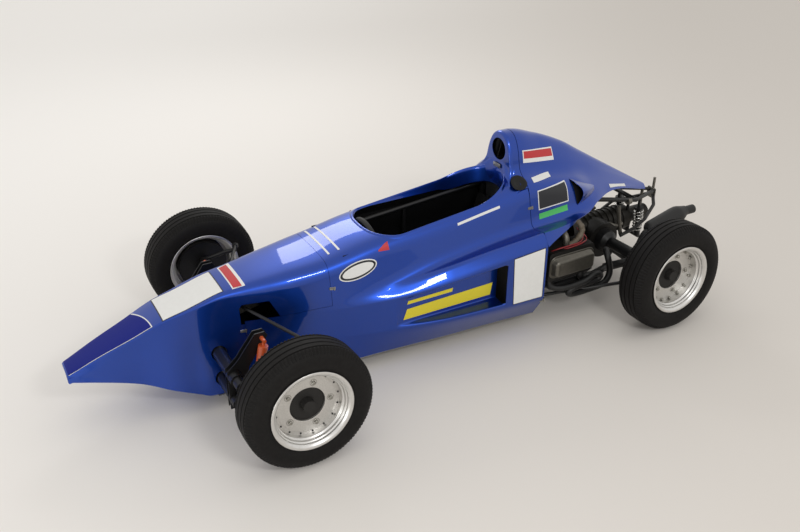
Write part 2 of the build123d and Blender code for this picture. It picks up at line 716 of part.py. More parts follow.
with BuildPart() as king_pins:
    for side in (1, -1):
        y = side * king_y
        for half, radius in ((king_half, king_r), (carrier_half, carrier_r)):
            tube_between(at(king_x, y, king_z - half), at(king_x, y, king_z + half), radius)
        for z in link_z.values():
            tube_between(at(king_x, side * (arm_end_y - 2 + touch), z), at(king_x, y, z), link_r)
save(king_pins.part, "king_pins")

with BuildPart() as front_dampers:
    for side in (1, -1):
        top = Vector(*at(beam_x - damper_back, side * damper_y, damper_top_z))
        low_z = (beam_lower_z + link_z["lower"]) / 2
        low = Vector(*at(beam_x - damper_low_back, side * damper_y, low_z))
        for start, end, radius in ((0.0, 1.0, damper_rod_r), (0.1, 0.5, damper_body_r),
                                   (0.5, 0.92, damper_low_r)):
            tube_between(top + (low - top) * start, top + (low - top) * end, radius)
        tower_face = tower_y + tower_gap + tower_t / 2 + touch
        arm_face = arm_y + 4 - arm_r - touch
        for end, inner, outer in ((top, tower_face, damper_y + damper_pin_r),
                                  (low, damper_y - damper_pin_r, arm_face)):
            tube_between((end.X, side * inner, end.Z), (end.X, side * outer, end.Z), damper_pin_r)
save(front_dampers.part, "front_dampers")


# ---------------------------------------------------------------- wheels
def axle_line(axle, side, key):
    """Centre of the wheel and its outward direction."""
    tilt = radians(axle.camber)
    centre = Vector(axle.x, side * axle.half_track, hub_z[key])
    return centre, Vector(0, side * cos(tilt), sin(tilt))


def radial_plane(centre, out):
    """Sketch plane through the wheel's axis: X along the axis outwards, Y radial."""
    return Plane(origin=centre, x_dir=out, z_dir=(-1, 0, 0) if out.Y < 0 else (1, 0, 0))


def turned(axle, side, key, outline):
    """Adds a turned form about the wheel's axis from (out, radius) points."""
    centre, out = axle_line(axle, side, key)
    with BuildSketch(radial_plane(centre, out)) as profile:
        with BuildLine():
            Polyline(*outline, close=True)
        make_face()
    revolve(profile.sketch, axis=Axis(centre, out))


def make_tyre(axle, side, key):
    w = axle.tyre_w / 2
    r = axle.tyre_r
    outer = tread_points(axle) + [
        (w - 4, r - 30), (w, 226), (w - 1, 205), (rim_half - touch, 183), (rim_half - touch, bead_r + touch)]
    inner = [(rim_half - 14, bead_r + touch), (w - 10, 205), (w - 9, 226), (w - 13, r - 32),
             (tread_half - 4, r - 13)]
    outer_half = outer + inner
    inner_half = [(-a, b) for a, b in reversed(outer_half)]
    with BuildPart() as tyre:
        turned(axle, side, key, outer_half + inner_half)
    return tyre.part


def rim_edge():
    """Flange and bead seat of the rim's outer half, outside then inside."""
    bore = bead_r - barrel
    outside = [(rim_half - 28, barrel_r), (rim_half - 18, bead_r), (rim_half, bead_r),
               (rim_half, flange_r - 6), (rim_half + 3, flange_r), (rim_half + flange_w, flange_r - 2)]
    inside = [(rim_half + flange_w - 3, bead_r + 4), (rim_half - 4, bore), (rim_half - 20, bore),
              (rim_half - 30, barrel_r - barrel)]
    return outside + inside


def make_rim(axle, side, key):
    face = axle.disc_out
    centre, out = axle_line(axle, side, key)
    edge = rim_edge()
    with BuildPart() as rim:
        turned(axle, side, key, edge + [(-a, b) for a, b in reversed(edge)])
        turned(axle, side, key, [(face, disc_hole_r), (face, barrel_r - 1), (face - disc, barrel_r - 1),
                                 (face - disc, disc_hole_r)])
        with BuildSketch(Plane(origin=centre + out * (face - touch), x_dir=(1, 0, 0), z_dir=out)):
            with PolarLocations(lug_circle_r, axle.lugs, start_angle=18):
                Circle(lug_r)
        extrude(amount=lug_out)
    return rim.part


def make_drum(axle, side, key):
    face = axle.disc_out - disc - touch
    back = face - axle.drum_depth
    bore = spindle_r + running
    with BuildPart() as drum:
        turned(axle, side, key, [
            (face, bore), (face, drum_r - 6), (face - 6, drum_r), (back, drum_r),
            (back, drum_r - drum_wall), (face - 12, drum_r - drum_wall), (face - 12, hub_r),
            (back + 14, hub_r), (back + 14, bore)])
        turned(axle, side, key, [
            (face, bore), (face, hub_r - 6), (face + hub_cap, hub_r - 12),
            (face + hub_cap, 0), (face + hub_cap - 4, 0), (face + hub_cap - 4, bore)])
    return drum.part


corners = [("front_left", front_axle, 1, "front"), ("front_right", front_axle, -1, "front"),
           ("rear_left", rear_axle, 1, "rear"), ("rear_right", rear_axle, -1, "rear")]
for name, axle, side, key in corners:
    save(make_tyre(axle, side, key), f"tyre_{name}")
    save(make_rim(axle, side, key), f"rim_{name}")
    save(make_drum(axle, side, key), f"drum_{name}")


def hub_end(axle, side, key):
    """Adds the brake's backing plate and the spindle; returns the plate's place."""
    face = axle.disc_out - disc - touch
    plate_in = face - axle.drum_depth - backing_gap
    turned(axle, side, key, [
        (plate_in, 0), (plate_in, drum_r - 4), (plate_in - backing, drum_r - 4), (plate_in - backing, 0)])
    end = face + hub_cap - 8
    turned(axle, side, key, [(end, 0), (end, spindle_r), (plate_in - 10, spindle_r), (plate_in - 10, 0)])
    return plate_in


def make_knuckle(side):
    king = Vector(ahead(king_x), side * king_y, king_z)
    eye_in = carrier_half + eye_gap
    eye_out = eye_in + eye_h
    with BuildPart() as knuckle:
        plate_in = hub_end(front_axle, side, "front")
        turned(front_axle, side, "front", [
            (plate_in - backing, 0), (plate_in - backing, knuckle_hub_r),
            (plate_in - backing - knuckle_hub_l, knuckle_hub_r), (plate_in - backing - knuckle_hub_l, 0)])
        # kingpin eyes above and below the carrier
        for low, high in ((eye_in, eye_out), (-eye_out, -eye_in)):
            tube_between((king.X, king.Y, king_z + low), (king.X, king.Y, king_z + high), eye_r)
            with BuildSketch(Plane.XY.offset(king_z + low)):
                with Locations((king.X, side * (king_y + ear_y))):
                    Rectangle(ear_w, ear_l)
            extrude(amount=high - low)
        with BuildSketch(Plane.XY.offset(king_z - eye_out)):
            with Locations((king.X, side * (king_y + bridge_y))):
                Rectangle(bridge_w, bridge_t)
        extrude(amount=2 * eye_out)
        # steering arm back to the track rod's ball
        arm_z = steer_ball_z - ball_drop
        root = (king.X - arm_root_back, side * (king_y + arm_root_out), king_z + carrier_half + arm_root_rise)
        tube_run([root,
                  at(steer_ball_x * arm_bend_share, side * (steer_ball_y + arm_bend_out),
                     steer_ball_z - arm_bend_drop),
                  at(steer_ball_x, side * steer_ball_y, arm_z)], steer_arm_r)
        tube_between(at(steer_ball_x, side * steer_ball_y, arm_z - ball_lap),
                     at(steer_ball_x, side * steer_ball_y, steer_ball_z + link_offset), ball_pin_r)
        # kingpin bore
        with BuildSketch(Plane.XY.offset(king_z - king_half - 20)):
            with Locations((king.X, side * king_y)):
                Circle(king_r + running)
        extrude(amount=2 * king_half + 40, mode=Mode.SUBTRACT)
    return knuckle.part


def make_track_rod(side):
    ball = Vector(*at(steer_ball_x, side * steer_ball_y, steer_ball_z + 10))
    inner = Vector(*at(rod_inner_x, side * rod_inner_y, rod_inner_z))
    along = (inner - ball).normalized()
    with BuildPart() as rod:
        with BuildSketch(Plane.XY.offset(ball.Z - rod_eye_h / 2)):
            with Locations((ball.X, ball.Y)):
                Circle(rod_eye_r)
        extrude(amount=rod_eye_h)
        tube_between(ball + along * 10, inner, rod_r)
        with BuildSketch(Plane.XY.offset(ball.Z - 2 * rod_eye_h)):
            with Locations((ball.X, ball.Y)):
                Circle(ball_pin_r + running)
        extrude(amount=4 * rod_eye_h, mode=Mode.SUBTRACT)
    return rod.part


for name, side in (("left", 1), ("right", -1)):
    save(make_knuckle(side), f"knuckle_{name}")
    save(make_track_rod(side), f"track_rod_{name}")

# ---------------------------------------------------------------- engine
head_mid_x = (head_front_x + head_rear_x) / 2
with BuildPart() as crankcase:
    with BuildSketch(Plane.XY.offset(crankcase_low)):
        with Locations((ahead((engine_front_x + engine_rear_x) / 2), 0)):
            RectangleRounded(engine_front_x - engine_rear_x, 2 * crankcase_half, 20)
    extrude(amount=crankcase_high - crankcase_low)
save(crankcase.part, "crankcase")

fin_count = int((head_in_y - crankcase_half - fin_pitch) / fin_pitch)
with BuildPart() as cylinder_heads:
    for side in (1, -1):
        for x in cylinder_x:
            inner = at(x, side * (crankcase_half + touch), crank_z)
            tube_between(inner, at(x, side * head_in_y, crank_z), cylinder_r)
            for i in range(fin_count):
                y = crankcase_half + (i + 1) * fin_pitch
                tube_between(at(x, side * y, crank_z), at(x, side * (y + fin_t), crank_z), fin_r)
        with BuildSketch(Plane.XZ.offset(-side * head_in_y)):
            with Locations((ahead(head_mid_x), crank_z)):
                RectangleRounded(head_front_x - head_rear_x, 2 * head_half_z, 16)
        extrude(amount=-side * (head_out_y - head_in_y))
save(cylinder_heads.part, "cylinder_heads")

cover_flange = 10.0
cover_l = head_front_x - head_rear_x - 2.0
with BuildPart() as rocker_covers:
    for side in (1, -1):
        with BuildSketch(Plane.XZ.offset(-side * (head_out_y + touch))):
            with Locations((ahead(head_mid_x), crank_z)):
                RectangleRounded(cover_l, 2 * cover_half_z, 40)
        extrude(amount=-side * cover_flange)
        with BuildSketch(Plane.XZ.offset(-side * (head_out_y + cover_flange))):
            with Locations((ahead(head_mid_x), crank_z)):
                RectangleRounded(cover_l - 24, 2 * cover_half_z - 22, 34)
        extrude(amount=-side * (cover_out_y - head_out_y - cover_flange), taper=12)
save(rocker_covers.part, "rocker_covers")

with BuildPart() as intake:
    tube_between(at(carb_x, 0, crankcase_high + touch), at(carb_x, 0, carb_low_z), carb_r)
    for side in (1, -1):
        tube_run([at(carb_x, 0, manifold_z), at(carb_x, side * manifold_bend_y, manifold_z),
                  at(carb_x, side * manifold_y, manifold_z - manifold_fall),
                  at(carb_x, side * manifold_y, crank_z + head_half_z + touch)], manifold_r)
    with BuildSketch(Plane.XY.offset(carb_low_z)):
        with Locations((ahead(carb_x), 0)):
            RectangleRounded(carb_w, carb_d, 12)
    extrude(amount=carb_high_z - carb_low_z)
    tube_between(at(carb_x, 0, carb_high_z), at(carb_x, 0, horn_top_z), horn_r)
save(intake.part, "intake")

# ---------------------------------------------------------------- exhaust
Header = namedtuple("Header", "x y drop_z")
headers = [Header(cylinder_x[0] + header_shift, 290.0, 174.0),
           Header(cylinder_x[1] - header_shift, 326.0, 202.0)]
muffler_in = Vector(*at(muffler_x0, muffler_y, muffler_z0))
muffler_out = Vector(*at(muffler_x1, muffler_y, muffler_z1))
muffler_dir = (muffler_out - muffler_in).normalized()
head_low = crank_z - head_half_z
with BuildPart() as exhaust_headers:
    for side in (1, -1):
        for h in headers:
            tube_run([at(h.x, side * h.y, head_low - touch), at(h.x, side * h.y, h.drop_z),
                      at(header_end_x, side * h.y, h.drop_z),
                      at(collector_x, side * collector_y, collector_z)], pipe_r, 1.4)
    tube_run([at(collector_x + pipe_lap, collector_y, collector_z), at(*riser),
              muffler_in - muffler_dir * riser_lead, muffler_in - muffler_dir * touch], riser_r)
    crossover_start = at(collector_x + pipe_lap, -collector_y, collector_z)
    tube_run([crossover_start] + [at(*p) for p in crossover], crossover_r)
save(exhaust_headers.part, "exhaust_headers")

with BuildPart() as muffler:
    tail_z = muffler_z1 + tail_rise
    tube_between(muffler_in, muffler_out, muffler_r)
    for end_x, radius in ((-tail_reach, tail_r), (-tail_reach + tail_length, collar_r)):
        tube_between(at(muffler_x1 + tail_lap, muffler_y, tail_z), at(end_x, muffler_y, tail_z), radius)
    # the outlet is open
    with BuildSketch(cross_plane(-tail_reach)):
        with Locations((muffler_y, tail_z)):
            Circle(tail_r - tail_wall)
    extrude(amount=tail_reach + muffler_x1 + tail_lap, mode=Mode.SUBTRACT)
save(muffler.part, "muffler")

# ---------------------------------------------------------------- gearbox, rear axle
gear_z = crank_z - gear_drop
with BuildPart() as gearbox:
    with BuildSketch(cross_plane(engine_rear_x - touch / 3)):
        with Locations((0, crank_z)):
            Circle(bell_front_r)
    with BuildSketch(cross_plane(bell_rear_x)):
        with Locations((0, crank_z - bell_drop)):
            Circle(bell_rear_r)
    loft()
    tube_between(at(-wheelbase, -pivot_half, axle_pivot_z), at(-wheelbase, pivot_half, axle_pivot_z),
                 pivot_case_r)
    tube_between(at(case_front_x, 0, gear_z), at(case_rear_x, 0, gear_z), case_r)
    tube_between(at(case_rear_x + case_lap, 0, gear_z), at(gearbox_end_x, 0, gear_z), nose_case_r)
save(gearbox.part, "gearbox")

with BuildPart() as axle_tubes:
    for side in (1, -1):
        plate_in = hub_end(rear_axle, side, "rear")
        tilt = radians(rear_axle.camber)
        inner_end = (rear_axle.half_track - pivot_half - touch) / cos(tilt) - bell_r * tan(tilt)
        turned(rear_axle, side, "rear", [
            (plate_in - backing, 0), (plate_in - backing, 62), (plate_in - 44, 52),
            (plate_in - 60, axle_tube_r), (60 - inner_end, axle_tube_r), (40 - inner_end, 58),
            (-inner_end, bell_r), (-inner_end, 0)])
save(axle_tubes.part, "axle_tubes")

upper_rail = [(-1500.0, 160.0, 620.0), (-2010.0, 112.0, 520.0), (-2330.0, 96.0, 440.0)]
with BuildPart() as rear_frame:
    x_start = firewall_x - plate - touch / 3
    low_z = rail_low_z + rear_lift
    rear_bar = upper_rail[-1]
    case_top_z = gear_z + sqrt(case_r ** 2 - (mount_y - mount_r) ** 2) + touch
    for side in (1, -1):
        y = side * rail_y
        tube_run([at(x_start, y, low_z), at(rear_cross_x, y, low_z),
                  at(rear_end[0], side * rear_end[1], rear_end[2])], tube_r)
        rail = [at(x, side * out_y, z) for x, out_y, z in upper_rail]
        tube_run([at(x_start, side * upper_rail[0][1], upper_rail[0][2])] + rail, tube_r)
        tube_between(at(rear_bar[0], side * mount_y, rear_bar[2]),
                     at(rear_bar[0], side * mount_y, case_top_z), mount_r)
        tube_run([at(x, side * out_y, z) for x, out_y, z in rear_hoop], hoop_r)
        tube_between(at(rear_bar[0], side * rear_bar[1], rear_bar[2]),
                     at(link_end[0], side * link_end[1], link_end[2]), hoop_r)
    tube_between(at(rear_bar[0], -rear_bar[1], rear_bar[2]), at(*rear_bar), tube_r)
    with BuildSketch(cross_plane(end_plate_x + end_plate_t / 2)):
        with Locations((0, (end_plate_low + end_plate_high) / 2)):
            RectangleRounded(end_plate_w, end_plate_high - end_plate_low, 8)
    extrude(amount=-end_plate_t)
    tube_between(at(rear_cross_x, -rail_y, low_z), at(rear_cross_x, rail_y, low_z), tube_r)
save(rear_frame.part, "rear_frame")

with BuildPart() as radius_rods:
    for side in (1, -1):
        tube_run([at(rod_front_x, side * (rail_y + tube_r + touch), low_z),
                  at(rod_front_x, side * rod_front_y, low_z + rod_front_lift),
                  at(rod_back_x, side * rod_end_y, rod_end_z)], radius_rod_r)
save(radius_rods.part, "radius_rods")

link_run = rear_bar[0] - link_end[0]
link_slope = (rear_bar[2] - link_end[2]) / link_run
spring_y = rear_bar[1] + (link_end[1] - rear_bar[1]) * (rear_bar[0] - spring_x) / link_run
link_under_z = rear_bar[2] - link_slope * (rear_bar[0] - spring_x) - hoop_r / cos(atan(link_slope))
spring_top_z = link_under_z - link_slope * spring_rod_r - 3 * touch
with BuildPart() as rear_spring:
    for side in (1, -1):
        foot = Vector(*at(spring_low_x, side * spring_y, spring_low_z))
        top = Vector(*at(spring_x, side * spring_y, spring_top_z))
        up = (top - foot).normalized()
        coil_top = coil_low + coil_pitch * (coil_count - 1) + coil_t
        tube_between((foot.X, foot.Y, spring_bar_z), foot + up * coil_top, spring_body_r)
        tube_between(foot + up * coil_top, top, spring_rod_r)
        for step in range(coil_count):
            origin = foot + up * (coil_low + step * coil_pitch)
            with BuildSketch(Plane(origin=origin, x_dir=(0, 1, 0), z_dir=(coil_lean, 0, 1))):
                Circle(coil_r)
                Circle(spring_body_r - 1, mode=Mode.SUBTRACT)
            extrude(amount=coil_t)
    tube_between(at(spring_low_x, -spring_y - spring_body_r, spring_bar_z),
                 at(spring_low_x, spring_y + spring_body_r, spring_bar_z), spring_bar_r)
    hanger_top_z = gear_z - nose_case_r - touch
    tube_between(at(spring_low_x, 0, spring_bar_z), at(spring_low_x, 0, hanger_top_z), hanger_r)
save(rear_spring.part, "rear_spring")

lever_x = end_plate_x - end_plate_t / 2 - lever_r - touch
with BuildPart() as shift_linkage:
    tube_between(at(post_x, 0, gear_z + nose_case_r + touch), at(post_x, 0, post_top_z), post_r)
    tube_between(at(lever_x, 0, lever_low_z), at(lever_x, 0, lever_top_z), lever_r)
save(shift_linkage.part, "shift_linkage")
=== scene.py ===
import json
import math

import bmesh
import bpy
import numpy as np
from mathutils import Matrix, Vector


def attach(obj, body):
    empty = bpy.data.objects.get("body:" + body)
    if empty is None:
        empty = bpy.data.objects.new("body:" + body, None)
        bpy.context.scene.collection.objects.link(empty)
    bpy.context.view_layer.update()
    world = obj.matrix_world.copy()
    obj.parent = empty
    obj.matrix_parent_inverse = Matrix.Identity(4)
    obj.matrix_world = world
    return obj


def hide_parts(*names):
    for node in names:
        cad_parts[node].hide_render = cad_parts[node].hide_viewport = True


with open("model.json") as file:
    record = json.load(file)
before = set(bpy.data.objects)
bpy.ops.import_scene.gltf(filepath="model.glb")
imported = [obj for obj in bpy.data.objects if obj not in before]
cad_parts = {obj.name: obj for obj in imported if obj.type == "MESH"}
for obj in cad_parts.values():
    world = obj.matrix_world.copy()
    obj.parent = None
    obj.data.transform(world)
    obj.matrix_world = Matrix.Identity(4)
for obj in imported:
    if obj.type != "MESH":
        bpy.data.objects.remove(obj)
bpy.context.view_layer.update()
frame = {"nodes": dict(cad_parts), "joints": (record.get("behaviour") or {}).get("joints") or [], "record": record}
joints = {j["name"]: j for j in frame["joints"]}
front_x = joints["spin_front_left"]["pos_m"][0]

# ---------------------------------------------------------------- sizes
mm = 0.001
skin = 4.0 * mm               # moulded body wall
nose_tip = 0.820
tip_split = 0.420             # ahead of here the nose is a single skin
tip_z = 0.289
tip_shrink = 0.10             # how much smaller the tip's front face is
tip_bulge = np.array([4.0 * mm, 0.0, 0.0])
nose_joint = -0.345           # seam of the nose across the scuttle
sill_joint = 0.060            # front edge of the centre moulding below the nose
sill_z = 0.400
wide = 0.5                    # half width of a cutter that spans the body
cockpit_cut_low, cockpit_cut_high = 0.50, 0.90
cover_joint = -1.460          # seam between the centre moulding and the engine cover
joint_gap = 0.0015            # how far a moulding stops short of its seam
tail_end = -2.455
film_low, film, film_high = 0.6 * mm, 0.8 * mm, 1.0 * mm    # how far the films stand off the body

recess_start, recess_end, intake_rear = -0.650, -1.212, -1.226
recess_low, recess_high_front, recess_high_rear = 0.228, 0.392, 0.452
recess_floor_front, recess_floor_rear = 0.304, 0.316

cockpit_front, cockpit_rear, cockpit_half = -0.604, -1.404, 0.184
cockpit_front_end, cockpit_rear_end, coaming_width = 0.16, 0.25, 0.016
fairing_front = -1.404
fairing_shoulder = (0.200, 0.745)         # out, up
fairing_middle_z, fairing_foot_z = 0.860, 0.700
fairing_edge = 0.020          # how far back the rounded front edge runs
hoop_hole_z, hoop_hole_r = 0.893, 0.057
skirt_reach, skirt_high, skirt_fall = 0.040, 0.830, 0.085
scoop_height = 0.036          # how far the side scoops stand out

# half section, as columns: station, then height of the middle of the top, then
# (out, up) of crease, groove, ridge, panel top, panel low and floor edge
sections = np.array([
    # x       top    crease        groove        ridge         panel top     panel low     floor
    (0.823, 0.303, 0.058, 0.300, 0.061, 0.295, 0.063, 0.291, 0.065, 0.289, 0.069, 0.282, 0.072, 0.276),
    (0.680, 0.363, 0.075, 0.361, 0.081, 0.336, 0.085, 0.320, 0.087, 0.310, 0.094, 0.274, 0.101, 0.244),
    (0.540, 0.418, 0.092, 0.414, 0.098, 0.367, 0.102, 0.336, 0.105, 0.317, 0.113, 0.252, 0.120, 0.198),
    (0.397, 0.477, 0.104, 0.472, 0.120, 0.401, 0.130, 0.354, 0.136, 0.325, 0.156, 0.222, 0.172, 0.140),
    (0.300, 0.500, 0.114, 0.495, 0.130, 0.409, 0.141, 0.353, 0.147, 0.317, 0.168, 0.195, 0.186, 0.096),
    (0.250, 0.514, 0.119, 0.509, 0.136, 0.415, 0.147, 0.356, 0.153, 0.318, 0.177, 0.188, 0.196, 0.077),
    (0.137, 0.545, 0.125, 0.539, 0.143, 0.437, 0.155, 0.371, 0.161, 0.329, 0.185, 0.190, 0.206, 0.075),
    (-0.160, 0.584, 0.172, 0.572, 0.198, 0.470, 0.208, 0.415, 0.212, 0.375, 0.222, 0.225, 0.230, 0.075),
    (-0.345, 0.607, 0.197, 0.592, 0.221, 0.466, 0.230, 0.418, 0.236, 0.378, 0.244, 0.222, 0.246, 0.075),
    (-0.600, 0.656, 0.199, 0.638, 0.243, 0.452, 0.258, 0.425, 0.290, 0.385, 0.300, 0.212, 0.262, 0.075),
    (-0.940, 0.694, 0.204, 0.677, 0.256, 0.492, 0.322, 0.490, 0.362, 0.436, 0.368, 0.208, 0.290, 0.075),
    (-1.220, 0.728, 0.199, 0.712, 0.253, 0.520, 0.340, 0.532, 0.386, 0.486, 0.388, 0.200, 0.306, 0.075),
    (-1.460, 0.790, 0.200, 0.745, 0.250, 0.535, 0.352, 0.557, 0.395, 0.505, 0.399, 0.200, 0.326, 0.075),
])

# engine cover: station, then (out, up) of spine, haunch, crease, shoulder, groove, lip
cover_sections = np.array([
    # x       spine         haunch        crease        shoulder      groove        lip
    (-1.404, 0.045, 0.985, 0.090, 0.915, 0.113, 0.802, 0.200, 0.745, 0.250, 0.530, 0.348, 0.550),
    (-1.460, 0.043, 0.985, 0.088, 0.915, 0.113, 0.800, 0.200, 0.745, 0.250, 0.535, 0.350, 0.556),
    (-1.620, 0.030, 0.943, 0.078, 0.862, 0.110, 0.768, 0.198, 0.722, 0.245, 0.548, 0.326, 0.552),
    (-1.800, 0.020, 0.868, 0.066, 0.795, 0.100, 0.735, 0.188, 0.690, 0.235, 0.566, 0.282, 0.560),
    (-1.930, 0.017, 0.792, 0.055, 0.742, 0.086, 0.700, 0.160, 0.640, 0.196, 0.588, 0.214, 0.575),
    (-2.060, 0.014, 0.716, 0.042, 0.686, 0.068, 0.660, 0.122, 0.606, 0.140, 0.582, 0.148, 0.570),
    (-2.455, 0.010, 0.487, 0.014, 0.485, 0.018, 0.482, 0.026, 0.474, 0.031, 0.466, 0.034, 0.459),
])


# ---------------------------------------------------------------- curves and meshes
def eased(x, knots, values):
    """Monotone cubic through the knots: the slope at a knot is the harmonic mean of
    its neighbours' slopes, and zero where they change sign, so nothing overshoots."""
    order = np.argsort(knots)
    k, v = np.asarray(knots, float)[order], np.asarray(values, float)[order]
    step = np.diff(k)
    slope = np.diff(v, axis=0) / step.reshape(-1, *[1] * (v.ndim - 1))
    same = slope[:-1] * slope[1:] > 0
    total = np.where(same, slope[:-1] + slope[1:], 1.0)
    inner = np.where(same, 2 * slope[:-1] * slope[1:] / total, 0.0)
    m = np.concatenate([slope[:1], inner, slope[-1:]])
    x = np.clip(np.asarray(x, float), k[0], k[-1])
    i = np.clip(np.searchsorted(k, x) - 1, 0, len(k) - 2)
    shape = (-1, *[1] * (v.ndim - 1))
    h = step[i].reshape(shape)
    t = ((x - k[i]) / step[i]).reshape(shape)
    return ((2 * t**3 - 3 * t**2 + 1) * v[i] + (t**3 - 2 * t**2 + t) * h * m[i]
            + (3 * t**2 - 2 * t**3) * v[i + 1] + (t**3 - t**2) * h * m[i + 1])


def smooth(t):
    """Ease from 0 to 1: three t squared less two t cubed."""
    t = np.clip(t, 0.0, 1.0)
    return t * t * (3 - 2 * t)


def rounded(corners, radii, arc=7, run=5):
    """Polylines with their corners rounded.  corners is (rows, points, 2).  Each
    corner becomes the parabola that starts and ends a radius away along its sides,
    or half a side where the side is short, and the whole of it at an end."""
    before = corners[:, 1:-1] - corners[:, :-2]
    after = corners[:, 2:] - corners[:, 1:-1]
    reach = np.asarray(radii, float)
    if reach.ndim == 1:
        reach = np.broadcast_to(reach, corners.shape[:1] + reach.shape)
    most = np.full(reach.shape[1], 0.5)
    first, last_side = most.copy(), most.copy()
    first[0], last_side[-1] = 0.98, 0.98

    def cut(side, limit):
        """Share of a side that the arc takes: the radius over its length, up to the limit."""
        return np.minimum(reach / np.maximum(np.linalg.norm(side, axis=2), 1e-6), limit)[..., None]

    start = corners[:, 1:-1] - cut(before, first) * before
    end = corners[:, 1:-1] + cut(after, last_side) * after
    s = np.linspace(0, 1, arc)[None, :, None]
    parts = []
    last = corners[:, 0]
    for i in range(start.shape[1]):
        line = np.linspace(0, 1, run, endpoint=False)[None, :, None]
        parts.append(last[:, None] * (1 - line) + start[:, i][:, None] * line)
        a, b, c = start[:, i][:, None], corners[:, i + 1][:, None], end[:, i][:, None]
        parts.append((1 - s)**2 * a + 2 * s * (1 - s) * b + s**2 * c)
        last = end[:, i]
    line = np.linspace(0, 1, run + 1)[None, 1:, None]
    parts.append(last[:, None] * (1 - line) + corners[:, -1][:, None] * line)
    return np.concatenate(parts, axis=1)


def grid_faces(rows, columns, wrap_rows=False, wrap_columns=False, first=0):
    """Quads of a grid of rows by columns of vertices, joined round where asked."""
    r = np.arange(rows if wrap_rows else rows - 1)[:, None]
    c = np.arange(columns if wrap_columns else columns - 1)[None, :]
    r2, c2 = (r + 1) % rows, (c + 1) % columns
    quads = np.stack([r * columns + c, r * columns + c2, r2 * columns + c2, r2 * columns + c], axis=-1)
    return quads.reshape(-1, 4) + first


def mesh_object(name, points, faces):
    """An object at the origin from vertices and faces."""
    mesh = bpy.data.meshes.new(name)
    corners = [list(map(int, f)) for f in faces]
    mesh.from_pydata(np.asarray(points, float).reshape(-1, 3).tolist(), [], corners)
    mesh.validate()
    obj = bpy.data.objects.new(name, mesh)
    bpy.context.scene.collection.objects.link(obj)
    return obj


def joined_grids(name, grids):
    """One object from several grids, each (points, wrap_rows, wrap_columns)."""
    points, faces, first = [], [], 0
    for grid, wrap_rows, wrap_columns in grids:
        rows, columns = grid.shape[:2]
        points.append(grid.reshape(-1, 3))
        faces.append(grid_faces(rows, columns, wrap_rows, wrap_columns, first))
        first += rows * columns
    return mesh_object(name, np.concatenate(points), np.concatenate(faces))


def tidy(obj, angle=32.0, merge=0.00002):
    """Merges doubles, turns the faces outwards and keeps edges sharper than the angle."""
    bm = bmesh.new()
    bm.from_mesh(obj.data)
    bmesh.ops.remove_doubles(bm, verts=bm.verts, dist=merge)
    bmesh.ops.dissolve_degenerate(bm, edges=bm.edges, dist=merge / 4)
    bmesh.ops.recalc_face_normals(bm, faces=bm.faces)
    bm.to_mesh(obj.data)
    bm.free()
    obj.data.polygons.foreach_set("use_smooth", np.ones(len(obj.data.polygons), bool))
    obj.data.set_sharp_from_angle(angle=math.radians(angle))
    return obj


def applied(obj):
    """Makes the object's modifiers part of its mesh."""
    evaluated = obj.evaluated_get(bpy.context.evaluated_depsgraph_get())
    mesh = bpy.data.meshes.new_from_object(evaluated)
    obj.modifiers.clear()
    obj.data = mesh
    return obj


def thickened(obj, wall, inside=None):
    """Gives an open surface a wall on its inner side, whose face may be another finish."""
    m = obj.modifiers.new("wall", "SOLIDIFY")
    if inside:
        obj.data.materials.append(paint)
        obj.data.materials.append(inside)
        m.material_offset = 1
    m.thickness = wall
    m.offset = -1.0
    m.use_even_offset = False
    return applied(obj)


def cut_by(obj, cutter):
    """Subtracts the closed cutter, and removes it."""
    m = obj.modifiers.new("cut", "BOOLEAN")
    m.operation = "DIFFERENCE"
    m.solver = "EXACT"
    m.object = cutter
    bpy.context.view_layer.update()
    applied(obj)
    bpy.data.objects.remove(cutter)
    return obj


def prism(name, outline, direction, low, high):
    """Closed prism: the outline swept from low to high along an axis.  Outline points
    are the other two axes' values in order, (y, z), (x, z) or (x, y)."""
    flat = np.asarray(outline, float)
    n = len(flat)
    spots = [i for i in range(3) if i != direction]
    both = np.zeros((2, n, 3))
    both[:, :, spots] = flat
    both[0, :, direction], both[1, :, direction] = low, high
    faces = [list(range(n)), list(range(n, 2 * n))[::-1]]
    faces += [[i, (i + 1) % n, n + (i + 1) % n, n + i] for i in range(n)]
    return tidy(mesh_object(name, both, faces))


def circle(centre, radius, count=48):
    """Points of a circle in two dimensions: centre plus radius times (cos a, sin a)."""
    a = np.linspace(0, 2 * np.pi, count, endpoint=False)
    return np.stack([centre[0] + radius * np.cos(a), centre[1] + radius * np.sin(a)], axis=1)


def at(x):
    """X in the row frame of a station given ahead of the front axle."""
    return front_x + x


# ---------------------------------------------------------------- materials
def linear(hex_colour):
    """Linear RGBA of an sRGB hex colour."""
    c = np.array([int(hex_colour[i:i + 2], 16) for i in (1, 3, 5)]) / 255
    return (*np.where(c <= 0.04045, c / 12.92, ((c + 0.055) / 1.055)**2.4), 1.0)


def add(nodes, links, kind, settings=(), inputs=()):
    """Adds a node, sets its properties, then links or sets its inputs."""
    n = nodes.new("ShaderNode" + kind)
    for key, value in dict(settings).items():
        setattr(n, key, value)
    for key, value in dict(inputs).items():
        if isinstance(value, bpy.types.NodeSocket):
            links.new(value, n.inputs[key])
        else:
            n.inputs[key].default_value = value
    return n


